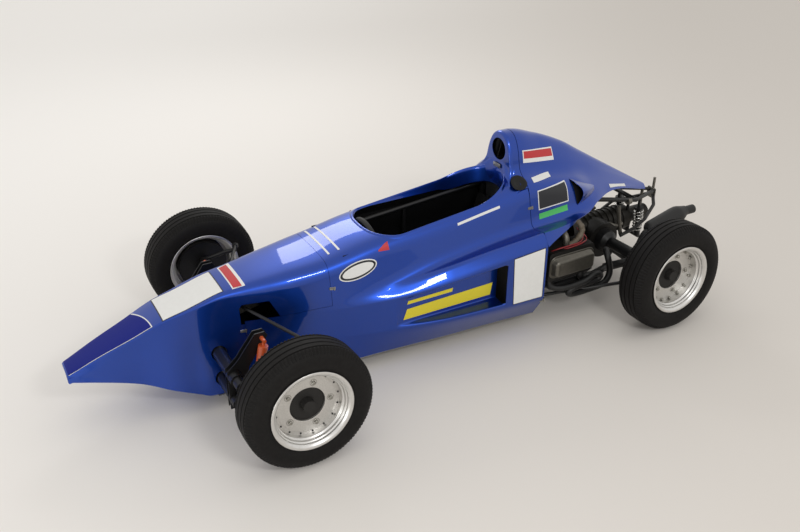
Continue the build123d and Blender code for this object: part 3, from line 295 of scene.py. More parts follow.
def material(name, colour, metallic=0.0, roughness=0.5, coat=0.0, coat_roughness=0.05, ior=1.5,
             grain=None, spread=0.0, darker=None, bump=0.0, stretch=(1, 1, 1), specular=0.5):
    """A plain surface with a fine pattern: colour runs between two tones over a noise
    whose grain is a real size in metres, which also lifts the surface by bump metres."""
    mat = bpy.data.materials.new(name)
    mat.use_nodes = True
    nodes, links = mat.node_tree.nodes, mat.node_tree.links
    nodes.clear()
    out = add(nodes, links, "OutputMaterial")
    shader = add(nodes, links, "BsdfPrincipled", inputs={
        "Base Color": linear(colour), "Metallic": metallic, "Roughness": roughness,
        "Coat Weight": coat, "Coat Roughness": coat_roughness, "IOR": ior, "Specular IOR Level": specular})
    links.new(shader.outputs[0], out.inputs[0])
    if grain:
        place = add(nodes, links, "TexCoord")
        turned = add(nodes, links, "Mapping", inputs={"Vector": place.outputs["Object"], "Scale": stretch})
        noise = add(nodes, links, "TexNoise", inputs={
            "Vector": turned.outputs[0], "Scale": 1.0 / grain, "Detail": 4.0, "Roughness": 0.6})
        if darker:
            mix = add(nodes, links, "Mix", {"data_type": "RGBA"}, {
                "Factor": noise.outputs["Fac"], 6: linear(colour), 7: linear(darker)})
            links.new(mix.outputs[2], shader.inputs["Base Color"])
        if spread:
            rough = add(nodes, links, "MapRange", inputs={
                "Value": noise.outputs["Fac"], "To Min": max(0.02, roughness - spread),
                "To Max": min(1.0, roughness + spread)})
            links.new(rough.outputs[0], shader.inputs["Roughness"])
        if bump:
            lift = add(nodes, links, "Bump", inputs={
                "Height": noise.outputs["Fac"], "Distance": bump, "Strength": 1.0})
            links.new(lift.outputs[0], shader.inputs["Normal"])
    return mat


# metallic blue lacquer over moulded glass fibre: fine flake under a clear coat, so that
# the surface darkens away from the light and still mirrors it sharply
paint = material("metallic_lacquer", "#1545AC", 0.92, 0.33, 0.85, 0.03, grain=0.0012, darker="#113992",
                 spread=0.05)
# solid dark blue lacquer: no flake, a duller mirror than the rest of the body
patch_blue = material("dark_lacquer", "#101F86", 0.0, 0.4, grain=0.0012, darker="#0B1766", specular=0.12)
# cut vinyl film: nearly even colour with a soft sheen
vinyl = material("white_vinyl_film", "#E2E2E0", 0.0, 0.32, grain=0.02, darker="#D8D8D5")
vinyl_red = material("red_vinyl_film", "#C02A30", 0.0, 0.32, grain=0.006, darker="#AE242A")
vinyl_yellow = material("yellow_vinyl_film", "#E2D22E", 0.0, 0.32, grain=0.006, darker="#D2C228")
vinyl_green = material("green_vinyl_film", "#4DBB63", 0.0, 0.32, grain=0.006, darker="#43A957")
vinyl_dark = material("black_vinyl_film", "#1E2026", 0.0, 0.35, grain=0.006, darker="#17181D")
# moulded tyre rubber: nearly black and dull, with darker patches
tyre_rubber = material("vulcanised_rubber", "#161413", 0.0, 0.66, grain=0.014, darker="#0B0A0A", spread=0.10,
                       bump=0.00015, specular=0.2)
# rolled rim barrels: bright, softly mirrored metal
spun_alloy = material("spun_aluminium", "#E6E5E3", 1.0, 0.34, grain=0.020, darker="#CFCECB", spread=0.05)
# faced rim centres: a little darker and duller than the barrels
cut_alloy = material("machined_aluminium", "#D8D6D2", 0.85, 0.42, grain=0.006, darker="#B4B1AC", spread=0.06)
# brake drums and small dark bolts: iron dulled by brake dust
cast_iron = material("dusty_cast_iron", "#2B2927", 0.4, 0.6, grain=0.006, darker="#191817", bump=0.0003)
# light castings: grey, with the grain of a sand mould
cast_alloy = material("sand_cast_aluminium", "#8E8A82", 0.85, 0.48, grain=0.004, darker="#5F5B54", spread=0.1,
                      bump=0.0003)
# rolled sheet: brushed along the car
sheet_alloy = material("brushed_aluminium_sheet", "#A9AAAC", 0.9, 0.34, grain=0.003, darker="#8C8D8F",
                       stretch=(0.1, 1, 1))
# frame and suspension tubes: satin black
tube_black = material("black_stove_enamel", "#101011", 0.0, 0.42, grain=0.01, darker="#0A0A0B", spread=0.08)
# small steel parts: grey and a little tarnished
tinned = material("pressed_tinned_steel", "#A5A39C", 0.95, 0.30, grain=0.015, darker="#85837C", spread=0.1)
# inner side of the mouldings and the seat: dull black; the same black also paints shade, in the sheets inside the
# cockpit and the film in the scoop's mouth
black_shell_and_shade = material("black_gel_coat", "#0E0E0F", 0.0, 0.5, grain=0.008, darker="#090909", spread=0.08,
                      specular=0.3)
# steering wheel rim: fine raised grain
grip = material("grained_leather", "#1B1A1A", 0.0, 0.6, grain=0.0015, darker="#111111", bump=0.0004)
# pipes and muffler: black paint dulled by heat
exhaust_black = material("matt_black_exhaust_paint", "#121213", 0.0, 0.5, grain=0.01, darker="#0B0B0B",
                         spread=0.1)
# front dampers: glossy orange
damper_orange = material("orange_stove_enamel", "#C4562A", 0.0, 0.35, 0.4, 0.1, grain=0.01, darker="#A84420")

# ---------------------------------------------------------------- body mouldings
def key_points(x):
    """Corner points (rows, points, 2) of the half section at each station, from the
    middle of the top down to the floor's edge, with the side recess where it runs."""
    v = eased(x, sections[:, 0], sections[:, 1:])
    top, pts = v[:, 0], v[:, 1:].reshape(-1, 6, 2)
    crown = np.stack([np.zeros_like(top), top], 1)
    crown_out = np.stack([pts[:, 0, 0] * 0.5, top], 1)
    panel_top, panel_low = pts[:, 3], pts[:, 4]
    share = np.clip((x - recess_start) / (recess_end - recess_start), 0, 1)
    rise = recess_high_front + (recess_high_rear - recess_high_front) * share
    high = np.minimum(rise, panel_top[:, 1] - 0.012)
    low = np.maximum(np.full_like(x, recess_low), panel_low[:, 1] + 0.006)
    inner = recess_floor_front + (recess_floor_rear - recess_floor_front) * share

    def on_panel(z):
        """How far out the panel stands at height z: straight from its top to its low edge."""
        t = (panel_top[:, 1] - z) / (panel_top[:, 1] - panel_low[:, 1])
        return panel_top[:, 0] + (panel_low[:, 0] - panel_top[:, 0]) * t

    lip = 0.010
    active = (x <= recess_start) & (x >= recess_end - 1e-9)

    def floor_at(z):
        """The recess's floor where it runs, and the plain panel elsewhere."""
        return np.where(active, np.minimum(on_panel(z), inner), on_panel(z))

    recess = [np.stack([on_panel(high), high], 1), np.stack([floor_at(high - lip), high - lip], 1),
              np.stack([floor_at(low + lip), low + lip], 1), np.stack([on_panel(low), low], 1)]
    shoulders = [pts[:, 0], pts[:, 1], pts[:, 2]]
    return np.stack([crown, crown_out, *shoulders, panel_top, *recess, panel_low, pts[:, 5]], 1)


def section_radii(x):
    """Rounding of each corner: the nose's crease is tight and softens behind it."""
    crease = 0.006 + 0.050 * smooth((0.30 - x) / 0.45)
    even = [np.full_like(x, radius) for radius in (1.0, 0.045, 0.016, 0.030, *[0.007] * 4, 0.035)]
    return np.stack([even[0], crease, *even[1:]], 1)


def placed(x, outlines):
    """Outlines of (out, up) points, one to a station, set at their places along the car."""
    return np.concatenate([np.broadcast_to(at(x)[:, None, None], outlines.shape[:2] + (1,)), outlines], 2)


def half_skin(x):
    """The left half of the body's surface at the stations, (stations, points, 3)."""
    return placed(x, rounded(key_points(x), section_radii(x)))


CREASE, GROOVE, RIDGE = 20, 32, 44        # columns of the half section at its corners


def on_deck(x, y):
    """Points on the body's top at stations x and widths y: the half section's height
    at that width."""
    x, y = np.broadcast_arrays(np.asarray(x, float), np.asarray(y, float))
    half = half_skin(x.ravel())
    z = [np.interp(abs(w), row[:RIDGE, 1], row[:RIDGE, 2]) for w, row in zip(y.ravel(), half)]
    return np.stack([at(x), y, np.reshape(z, x.shape)], -1)


def on_flank(x, z, surface, part):
    """Points on part of a half surface at stations x and heights z: the section's width
    at that height."""
    x, z = np.broadcast_arrays(np.asarray(x, float), np.asarray(z, float))
    half = surface(x.ravel())[:, part]
    y = [np.interp(-h, -row[:, 2], row[:, 1]) for h, row in zip(z.ravel(), half)]
    return np.stack([at(x), np.reshape(y, x.shape), z], -1)


def on_side(x, z, upper=False):
    """Points on the body's left side, below the ridge, or between crease and groove
    where upper is set."""
    return on_flank(x, z, half_skin, slice(CREASE, GROOVE) if upper else slice(RIDGE, None))


def both_sides(half):
    """A half surface and its mirror image, joined on the middle line."""
    return np.concatenate([half[:, ::-1] * (1, -1, 1), half[:, 1:]], 1)


def mirrored(half):
    """The grids of a surface and of its mirror image on the car's other side."""
    return [(half * (1, side, 1), False, False) for side in (1, -1)]


def stations(ends, count, crowd=0.35):
    """Stations between the ends, crowded towards both of them."""
    t = np.linspace(0, 1, count)
    t = t + crowd * (0.5 - 0.5 * np.cos(np.pi * t) - t)
    return ends[0] + (ends[1] - ends[0]) * t


def unfolded(half):
    """The half surface with each station's points below the ridge put in order of height,
    so that no row doubles back where the section is thin."""
    flank = half[:, RIDGE:]
    order = np.argsort(-flank[:, :, 2], axis=1, kind="stable")
    return np.concatenate([half[:, :RIDGE], np.take_along_axis(flank, order[:, :, None], 1)], 1)


def nose_moulding():
    """The nose: the section carried from a rounded tip back to the scuttle joint, as the
    single-skinned tip ahead of tip_split and the moulding behind it."""
    tip = unfolded(half_skin(np.full(9, nose_tip)))
    middle = np.array([at(nose_tip), 0.0, tip_z])
    a = np.linspace(0, np.pi / 2, 9)[:, None, None]
    tip = middle + (tip - middle) * (1 - tip_shrink * (1 - np.sin(a))) + tip_bulge * (1 - np.sin(a))
    ahead = unfolded(half_skin(stations((nose_tip - 0.004, tip_split), 44)))
    behind = half_skin(stations((tip_split, nose_joint + joint_gap), 80))
    return (joined_grids("nose_tip_skin", [(both_sides(np.concatenate([tip, ahead])), False, False)]),
            joined_grids("nose_shell", [(both_sides(behind), False, False)]))


def nose_underside():
    """Flat sheet between the nose's two lower edges, ahead of the floor pan, and the
    small face that closes the tip."""
    under_x = stations((nose_tip, 0.215), 40)
    edge = half_skin(under_x)[:, -1]
    across = np.linspace(-1, 1, 13)[None, :, None]
    under = edge[:, None] * (1, 0, 1) + edge[:, None] * (0, 1, 0) * across
    middle = np.array([at(nose_tip), 0.0, tip_z])
    rim = unfolded(half_skin(np.array([nose_tip, nose_tip])))[0]
    ring = np.concatenate([rim[::-1] * (1, -1, 1), rim[1:]])
    share = np.linspace(1 - tip_shrink, 0, 5)[:, None, None]
    cap = (middle + tip_bulge + (ring - middle) * share)[:, ::-1]
    return joined_grids("nose_under", [(under, False, False), (cap, False, False)])


def block(low, high):
    """Closed cutter with the two opposite corners given, the first along the car."""
    (x0, y0, z0), (x1, y1, z1) = low, high
    return prism("block_cut", [(at(x0), y0), (at(x1), y0), (at(x1), y1), (at(x0), y1)], 2, z0, z1)


def rod_opening(side):
    """Cutter for the steering rod's opening: its side outline through one flank."""
    points = [(-0.100, 0.397), (-0.060, 0.478), (0.060, 0.478), (0.075, 0.462), (0.075, 0.385),
              (-0.040, 0.385)]
    outline = [(at(x), z) for x, z in points]
    return prism("rod_cut", outline, 1, *sorted((side * 0.135, side * 0.30)))


def beam_holes(side):
    """Cutters for the two beam tubes' holes in one flank."""
    low, high = sorted((side * 0.10, side * 0.30))
    return [prism("beam_cut", circle((at(0.190), z), 0.036), 1, low, high) for z in (0.272, 0.150)]


def merged(objects, name):
    """Joins several objects' meshes into the first."""
    bpy.ops.object.select_all(action="DESELECT")
    for o in objects:
        o.select_set(True)
    bpy.context.view_layer.objects.active = objects[0]
    bpy.ops.object.join()
    objects[0].name = name
    return objects[0]


def dressed(obj, mat, body="chassis", slot=None, *nodes):
    """Gives a finished piece its material and its body, and hides the nodes it replaces. The slot is not used."""
    if mat:
        obj.data.materials.clear()
        obj.data.materials.append(mat)
    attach(obj, body)
    if nodes:
        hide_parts(*nodes)
    return obj


tip_skin, nose = nose_moulding()
nose = thickened(tidy(nose), skin, black_shell_and_shade)
nose = cut_by(nose, block((nose_joint - 0.1, -wide, 0.0), (sill_joint, wide, sill_z)))
for side in (1, -1):
    nose = cut_by(nose, rod_opening(side))
    for hole in beam_holes(side):
        nose = cut_by(nose, hole)
# the wall's front rim goes, so that the tip's single skin meets the outer face there
open_end = bmesh.new()
open_end.from_mesh(nose.data)
end_faces = [f for f in open_end.faces if f.calc_center_median().x > at(tip_split) - 0.1 * mm]
bmesh.ops.delete(open_end, geom=end_faces, context="FACES")
open_end.to_mesh(nose.data)
open_end.free()
tip_skin.data.materials.append(paint)
under = tidy(nose_underside())
under.data.materials.append(paint)
nose = merged([nose, tip_skin, under], "nose_shell")
dressed(tidy(nose), None, "chassis", "blue_paint", "nose_section")


def centre_moulding():
    """Cockpit sides and pods: the section carried back to the engine cover, stopping at
    the recess's end and starting again behind the air intake's slot."""
    along = stations((sill_joint - joint_gap, recess_end), 170, 0.1)
    ahead = half_skin(along)
    behind = half_skin(stations((intake_rear, cover_joint + joint_gap), 36, 0.1))
    grids = [(both_sides(ahead), False, False), (both_sides(behind), False, False)]
    bridge_x = np.array([recess_end, intake_rear])
    bridge = half_skin(bridge_x)
    z = bridge[0, :, 2]
    k = int(np.flatnonzero(z >= recess_high_rear - 0.002)[-1]) + 1
    low = int(np.flatnonzero(z >= recess_low + 0.002)[-1]) + 1
    for part in (bridge[:, :k], bridge[:, low:]):
        grids += mirrored(part)
    return joined_grids("centre_shell", grids)


def cockpit_outline(grow=0.0, count=160):
    """Plan of the cockpit opening: straight sides between superellipse ends, a full one
    ahead and a long one behind the shoulders."""
    half = cockpit_half + grow
    a = np.linspace(0, 2 * np.pi, count, endpoint=False)
    c, s = np.cos(a), np.sin(a)
    power = np.where(c > 0, 2.5, 2.2)
    out = np.sign(s) * half * np.abs(s)**(2 / power)
    mid_front, mid_rear = cockpit_front - cockpit_front_end, cockpit_rear + cockpit_rear_end
    along = np.where(c > 0, mid_front + (cockpit_front_end + grow) * np.abs(c)**(2 / power),
                     mid_rear - (cockpit_rear_end + grow) * np.abs(c)**(2 / power))
    return np.stack([at(along), out], 1)


def coaming():
    """Rolled edge of the cockpit opening: across it a low bead, then the return flange,
    which hangs deeper behind the shoulders; carried round the opening's plan."""
    inner, outer = cockpit_outline(0.0), cockpit_outline(coaming_width)
    x = outer[:, 0] - front_x
    bead = 0.003 + 0.010 * smooth((-1.12 - x) / 0.20)
    drop = 0.006 + 0.070 * smooth((-0.98 - x) / 0.30)
    profile = [  # share of the width outwards, lift of the bead, fall of the flange
        (1.0, -0.0015, 0), (0.8, 0.15, 0), (0.55, 0.6, 0), (0.3, 0.95, 0), (0.1, 1.0, 0),
        (-0.05, 0.75, 0), (-0.16, 0.1, 0.10), (-0.22, 0.0, 0.35), (-0.30, 0.0, 0.65), (-0.42, 0.0, 1.0)]
    rows = []
    for share, lift, fall in profile:
        spot = inner + (outer - inner) * share
        seat = inner + (outer - inner) * max(share, 0)
        deck = on_deck(seat[:, 0] - front_x, seat[:, 1])[:, 2]
        rows.append(np.column_stack([spot, deck + np.where(share < 1, lift * bead, lift) - fall * drop]))
    return joined_grids("cockpit_coaming", [(np.array(rows), False, True)])


centre = thickened(tidy(centre_moulding()), skin, black_shell_and_shade)
centre = cut_by(centre, block((nose_joint, -wide, sill_z - joint_gap), (0.2, wide, 0.8)))
centre = cut_by(centre, prism("cockpit_cut", cockpit_outline(), 2, cockpit_cut_low, cockpit_cut_high))
dressed(tidy(centre), None, "chassis", "blue_paint", "centre_body")
dressed(tidy(thickened(tidy(coaming(), 60), 2 * mm), 60), paint, "chassis", "blue_paint")


def cover_half(x):
    """Left half of the engine cover: spine, haunch, crease, shoulder, groove and lip."""
    pts = eased(x, cover_sections[:, 0], cover_sections[:, 1:]).reshape(-1, 6, 2)
    corners = np.concatenate([(pts[:, 0] * (0, 1))[:, None], pts], 1)
    return placed(x, rounded(corners, (0.060, 0.060, 0.035, 0.045, 0.045)))


def on_cover(x, z):
    """Points on the engine cover's left side, from its spine to its groove."""
    return on_flank(x, z, cover_half, slice(56))


def hoop_fairing():
    """Fairing over the roll hoop: the cover's first section with a rounded front edge,
    closed towards the middle of its face."""
    first = cover_half(np.full(16, fairing_front))
    miss = np.abs(first[0, :, 2] - fairing_shoulder[1]) + np.abs(first[0, :, 1] - fairing_shoulder[0])
    shoulder = int(np.argmin(miss))

    def closed_below(half):
        """The half surface down to its shoulder, then a foot set in a little, then the middle."""
        half = half[:, :shoulder + 1]
        foot = half[:, -1:] * (1, 0.97, 0) + np.array([0, 0, fairing_foot_z])
        return np.concatenate([half, foot, foot * (1, 0, 1)], 1)

    g = closed_below(first)
    middle = np.array([at(fairing_front), 0.0, fairing_middle_z])
    share = np.concatenate([[0.0, 0.3, 0.6, 0.82], 0.9 + 0.1 * np.sin(np.linspace(0, np.pi / 2, 12))])
    back = np.concatenate([np.zeros(4), fairing_edge * (1 - np.cos(np.linspace(0, np.pi / 2, 12)))])
    g = middle + (g - middle) * share[:, None, None] - np.array([1.0, 0, 0]) * back[:, None, None]
    weight = smooth((skirt_high - g[..., 2]) / skirt_fall) * smooth((g[..., 1] - 0.075) / 0.05)
    g[..., 0] += skirt_reach * weight
    deck = on_deck(g[..., 0] - front_x, np.minimum(g[..., 1], 0.198))[..., 2] - 0.002
    fall = np.minimum(1, weight * 1.25) * (g[..., 2] > 0.72)
    g[..., 2] = g[..., 2] * (1 - fall) + np.minimum(g[..., 2], deck) * fall
    rest = closed_below(cover_half(stations((fairing_front - fairing_edge, cover_joint + joint_gap), 6, 0)))
    return joined_grids("hoop_fairing", [(both_sides(np.concatenate([g, rest])), False, False)])


fairing = thickened(tidy(hoop_fairing()), skin, black_shell_and_shade)
fairing = cut_by(fairing, prism("hole_cut", circle((0.0, hoop_hole_z), hoop_hole_r), 0,
                                at(fairing_front) - 0.03, at(fairing_front) + 0.03))
dressed(tidy(fairing), None, "chassis", "blue_paint")

cover_grid = both_sides(cover_half(stations((cover_joint - joint_gap, tail_end), 120, 0.2)))
cover = thickened(tidy(joined_grids("cover_shell", [(cover_grid, False, False)])), skin, black_shell_and_shade)
dressed(tidy(cover), None, "chassis", "blue_paint", "engine_cover")


# ---------------------------------------------------------------- wheels
def turned(name, profile, centre, axis, count=144, closed=True, ripple=None):
    """Surface of revolution: the profile's (out, radius) points turned about the axis.
    ripple, if given, is added to the radius as a function of point and angle."""
    axis = Vector(axis).normalized()
    side = axis.cross(Vector((1, 0, 0) if abs(axis.x) < 0.9 else (0, 1, 0))).normalized()
    up = axis.cross(side)
    p = np.asarray(profile, float)
    a = np.linspace(0, 2 * np.pi, count, endpoint=False)[:, None]
    radius = p[None, :, 1] + (ripple(a, p) if ripple else 0.0)
    ring = np.cos(a)[..., None] * np.array(side) + np.sin(a)[..., None] * np.array(up)
    grid = np.array(centre) + p[None, :, 0, None] * np.array(axis) + radius[..., None] * ring
    return joined_grids(name, [(grid, True, closed)])


def tread_profile(width, radius):
    """Outline of a tyre: four grooves in a flat tread, rounded shoulders, bulging
    sidewalls with a rim guard, and beads; then back along the inside."""
    half = width / 2
    band = 0.062
    groove, depth = 0.0035, 0.006
    out = []
    for y in (-0.045, -0.016, 0.016, 0.045):
        r = radius - 0.0030 * smooth((abs(y) - 0.030) / 0.032)
        out += [(y - groove - 0.0012, r), (y - groove, r - 0.0012), (y - groove + 0.001, r - depth),
                (y + groove - 0.001, r - depth), (y + groove, r - 0.0012), (y + groove + 0.0012, r)]
    flank = np.array([[(band - 0.004, radius - 0.003), (half - 0.014, radius - 0.015),
                       (half - 0.003, radius - 0.034), (half + 0.001, 0.226), (half - 0.002, 0.204),
                       (0.0755, 0.190), (0.0747, 0.1653)]])
    side = rounded(flank, (0.010, 0.018, 0.03, 0.012, 0.006), arc=6, run=3)[0]
    inner = [(0.061, 0.1653), (half - 0.012, 0.205), (half - 0.012, 0.226), (half - 0.016, radius - 0.034),
             (0.050, radius - 0.016)]
    right = [tuple(p) for p in side] + inner
    return np.array(out + right + [(-y, r) for y, r in right[::-1]])


def make_wheel(corner, width, radius, disc_out):
    """Tyre, rim barrel, centre disc and bolts of one corner, each turned about its axle."""
    spin = joints["spin_" + corner]
    centre, axis = Vector(spin["pos_m"]), Vector(spin["axis"])
    body = "wheel_" + corner
    slots, steps = 112, 4         # slots in the shoulder, and columns of faces to each

    def shoulder_cuts(a, p):
        """Slots across the shoulder: 4 mm deep over half of each step of the turn."""
        y, r = np.abs(p[:, 0])[None, :], p[:, 1][None, :]
        place = smooth((y - 0.0515) / 0.003) * (r > radius - 0.022)
        return -0.004 * place * (np.cos(slots * a + 0.8) < 0)

    tyre = turned("tyre_" + corner + "_tread", tread_profile(width, radius), centre, axis,
                  slots * steps, True, shoulder_cuts)
    dressed(tidy(tyre, 28), tyre_rubber, body, "tyre_rubber", "tyre_" + corner)

    rim_half, seat, flange, wall, well = 0.075, 0.165, 0.1845, 0.004, 0.150
    outer = np.array([[(rim_half - 0.034, well), (rim_half - 0.028, well), (rim_half - 0.018, seat),
                       (rim_half - 0.001, seat), (rim_half, flange - 0.006), (rim_half + 0.004, flange),
                       (rim_half + 0.008, flange - 0.002), (rim_half + 0.006, seat + 0.006),
                       (rim_half - 0.004, seat - wall), (rim_half - 0.012, seat - wall),
                       (rim_half - 0.014, seat - wall - 0.006), (rim_half - 0.026, seat - wall - 0.007),
                       (rim_half - 0.030, well - wall), (rim_half - 0.040, well - wall)]])
    edge = rounded(outer, (0.004,) * 12, arc=4, run=2)[0]
    barrel = np.concatenate([edge, edge[::-1] * (-1, 1)])
    rim = turned("rim_" + corner + "_barrel", barrel, centre, axis, 144)
    dressed(tidy(rim, 50), spun_alloy, body, "wheel_alloy", "rim_" + corner)

    back = disc_out - 0.009
    disc = np.array([[(back, 0.079), (disc_out, 0.079), (disc_out, 0.130), (disc_out - 0.001, 0.134),
                      (disc_out - 0.001, 0.149), (back, 0.149), (back, 0.079)]])
    face = turned("disc_" + corner, rounded(disc, (0.0012,) * 5, arc=4, run=4)[0][:-1], centre, axis, 144)
    dressed(tidy(face, 40), cut_alloy, body, "wheel_alloy")
    across = axis.cross(Vector((1, 0, 0))).normalized()
    up = axis.cross(across)

    def ring_of(name, count, circle_r, profile, start, mat, segments=20):
        """Bolts or rivets: the profile turned about each of count places on a circle."""
        points, faces, first = [], [], 0
        for i in range(count):
            a = start + 2 * math.pi * i / count
            foot = centre + axis * disc_out + (across * math.cos(a) + up * math.sin(a)) * circle_r
            p = np.asarray(profile, float)
            t = np.linspace(0, 2 * np.pi, segments, endpoint=False)[:, None, None]
            ring = np.cos(t) * np.array(across) + np.sin(t) * np.array(up)
            grid = np.array(foot) + p[None, :, 0, None] * np.array(axis) + p[None, :, 1, None] * ring
            points.append(grid.reshape(-1, 3))
            faces.append(grid_faces(segments, len(p), True, False, first))
            first += segments * len(p)
        obj = mesh_object(name + corner, np.concatenate(points), np.concatenate(faces))
        return dressed(tidy(obj, 30), mat, body, "wheel_alloy")

    start = math.radians(18)
    lug = [(-0.002, 0.0155), (0.0006, 0.0155), (0.0008, 0.0145), (-0.001, 0.0115),
           (-0.001, 0.0085), (0.010, 0.0080), (0.0115, 0.0065), (0.0115, 0.0001)]
    ring_of("lug_bolts_", 5, 0.1025, lug, start, tinned, 24)
    if corner.startswith("rear"):
        head, steel = [(-0.001, 0.0066), (0.0080, 0.0063), (0.0095, 0.0050), (0.0095, 0.0001)], tinned
    else:
        head, steel = [(-0.001, 0.0040), (0.0016, 0.0038), (0.0022, 0.0030), (0.0022, 0.0001)], cast_iron
    ring_of("rim_bolts_", 16, 0.139, head, 0.1, steel, 12)


wheels = (  # axle, tyre width and radius, how far out the centre disc stands
    ("front", 0.170, 0.2855, 0.021),
    ("rear", 0.177, 0.290, 0.008),
)
for axle, *measures in wheels:
    for hand in ("left", "right"):
        make_wheel(axle + "_" + hand, *measures)


# ---------------------------------------------------------------- film on the body
def patch(name, corners, surface, mat, lift=film, sides=(1,), cells=(28, 14), swell=0.0):
    """Film that follows a surface: a sheet between four corners in the surface's own two
    measures, laid a hair's breadth outside it.  swell bows its rear edge backwards."""
    a, b, c, d = (np.array(p, float) for p in corners)
    u = np.linspace(0, 1, cells[0])[:, None, None]
    v = np.linspace(0, 1, cells[1])[None, :, None]
    flat = (a * (1 - u) + b * u) * (1 - v) + (d * (1 - u) + c * u) * v
    flat[..., 0] -= swell * u[..., 0] * np.sin(np.pi * v[..., 0])
    grid = surface(flat[..., 0], flat[..., 1])
    along, across = np.gradient(grid, axis=0), np.gradient(grid, axis=1)
    normal = np.cross(along, across)
    normal /= np.maximum(np.linalg.norm(normal, axis=-1, keepdims=True), 1e-9)
    normal *= np.sign(normal[..., 1:2].mean() + normal[..., 2:3].mean())
    grid = grid + normal * lift
    obj = joined_grids(name, [(grid * (1, side, 1), False, False) for side in sides])
    return dressed(tidy(obj, 60), mat)


def box_on(x0, x1, z0, z1, lean=0.0):
    """Four corners of a film between two stations and two heights, leant along the car."""
    return [(x0, z1), (x1, z1 + lean), (x1, z0 + lean), (x0, z0)]


def upper_side(x, z):
    """Points on the slope between crease and groove."""
    return on_side(x, z, upper=True)


# dark nose with its light edge line, the blank number panel, a plain bar and two lines
tip_patch = {"cells": (60, 16), "swell": 0.012}
deck_films = (  # name, front right, rear right, rear left, front left, film, stand-off, options
    ("nose_edge_film", (0.815, -0.058), (0.497, -0.095), (0.447, 0.0945), (0.815, 0.0595), vinyl, film_low,
     tip_patch),
    ("nose_dark_film", (0.817, -0.0575), (0.502, -0.0905), (0.452, 0.0905), (0.817, 0.0565), patch_blue,
     film_high, tip_patch),
    ("nose_number_edge", (0.404, -0.096), (0.122, -0.096), (0.122, 0.1035), (0.404, 0.100), vinyl_dark,
     film_low, {}),
    ("nose_number_panel", (0.399, -0.093), (0.127, -0.093), (0.127, 0.1005), (0.399, 0.097), vinyl,
     film_high, {}),
    ("nose_bar_edge", (0.084, -0.098), (0.026, -0.108), (0.026, 0.118), (0.084, 0.112), vinyl, film_low, {}),
    ("nose_bar", (0.078, -0.092), (0.040, -0.100), (0.040, 0.112), (0.078, 0.106), vinyl_red, film_high, {}),
)
for name, *corners, colour, lift, options in deck_films:
    patch(name, corners, on_deck, colour, lift, **options)
for i, x in enumerate((-0.378, -0.430)):
    corners = [(x, -0.150), (x - 0.010, -0.150), (x - 0.010, 0.125), (x, 0.125)]
    patch("scuttle_line_%d" % i, corners, on_deck, vinyl, cells=(3, 40))

# films alike on both sides of the car
both = (1, -1)
plain = (28, 14)
side_films = (  # name, four corners, surface, film, stand-off, cells
    ("side_number_edge", [(-1.256, 0.479), (-1.446, 0.497), (-1.449, 0.212), (-1.268, 0.212)], on_side,
     vinyl_dark, film_low, plain),
    ("side_number_panel", [(-1.260, 0.475), (-1.442, 0.493), (-1.445, 0.216), (-1.272, 0.216)], on_side,
     vinyl, film_high, plain),
    ("side_stripe", [(-0.700, 0.312), (-1.188, 0.330), (-1.176, 0.262), (-0.680, 0.256)], on_side,
     vinyl_yellow, film, (40, 6)),
    ("side_stripe_thin", [(-0.706, 0.356), (-0.955, 0.362), (-0.950, 0.342), (-0.700, 0.338)], on_side,
     vinyl_yellow, film, (30, 4)),
    ("shoulder_line", box_on(-1.030, -1.280, 0.640, 0.652, 0.035), upper_side, vinyl, film, (30, 3)),
    ("cover_bar_edge", box_on(-1.486, -1.700, 0.836, 0.898, -0.030), on_cover, vinyl, film_low, plain),
    ("cover_bar", box_on(-1.492, -1.694, 0.856, 0.892, -0.030), on_cover, vinyl_red, film_high, plain),
    ("cover_line", box_on(-1.505, -1.640, 0.752, 0.770, -0.006), on_cover, vinyl, film, plain),
    ("cover_dark_edge", box_on(-1.512, -1.712, 0.618, 0.716, 0.004), on_cover, vinyl, film_low, plain),
    ("cover_dark", box_on(-1.517, -1.707, 0.623, 0.711, 0.004), on_cover, vinyl_dark, film_high, plain),
    ("cover_green", box_on(-1.512, -1.700, 0.572, 0.600, 0.008), on_cover, vinyl_green, film, plain),
    ("tail_line", [(-2.080, 0.600), (-2.240, 0.552), (-2.240, 0.538), (-2.080, 0.584)], on_cover, vinyl,
     film, plain),
)
for name, corners, surface, colour, lift, cells in side_films:
    patch(name, corners, surface, colour, lift, both, cells)


def oval(name, centre, radii, surface, mat, lift, sides=both, lean=0.0):
    """Film with an oval outline, in the surface's own two measures."""
    a = np.linspace(0, 2 * np.pi, 48, endpoint=False)[:, None]
    share = np.linspace(1, 0.001, 8)[None, :]
    x = centre[0] + radii[0] * share * np.cos(a)
    z = centre[1] + radii[1] * share * np.sin(a) + lean * (x - centre[0])
    grid = surface(x, z) + np.array([0, lift, lift * 0.3])
    obj = joined_grids(name, [(grid * (1, side, 1), True, False) for side in sides])
    return dressed(tidy(obj, 60), mat)


oval_films = ((0.097, 0.041, vinyl), (0.091, 0.036, vinyl_dark), (0.080, 0.027, vinyl))
for i, (half_length, half_height, colour) in enumerate(oval_films):
    oval("oval_film_%d" % i, (-0.487, 0.540), (half_length, half_height), upper_side, colour,
         (0.6 + 0.4 * i) * mm, lean=-0.16)
patch("pull_mark", [(-0.600, 0.610), (-0.655, 0.640), (-0.655, 0.602), (-0.600, 0.604)], upper_side,
      vinyl_red, film_high, both, (8, 8))


# ---------------------------------------------------------------- scoop, valance and small fittings
def scoop_edges(u):
    """Upper and lower edge of the blister behind the scoop's mouth, on the cover."""
    front = np.array([(-1.750, 0.718), (-1.768, 0.590)])
    rear = np.array([(-1.935, 0.640), (-1.925, 0.622)])
    return front[0] + (rear[0] - front[0]) * u, front[1] + (rear[1] - front[1]) * u


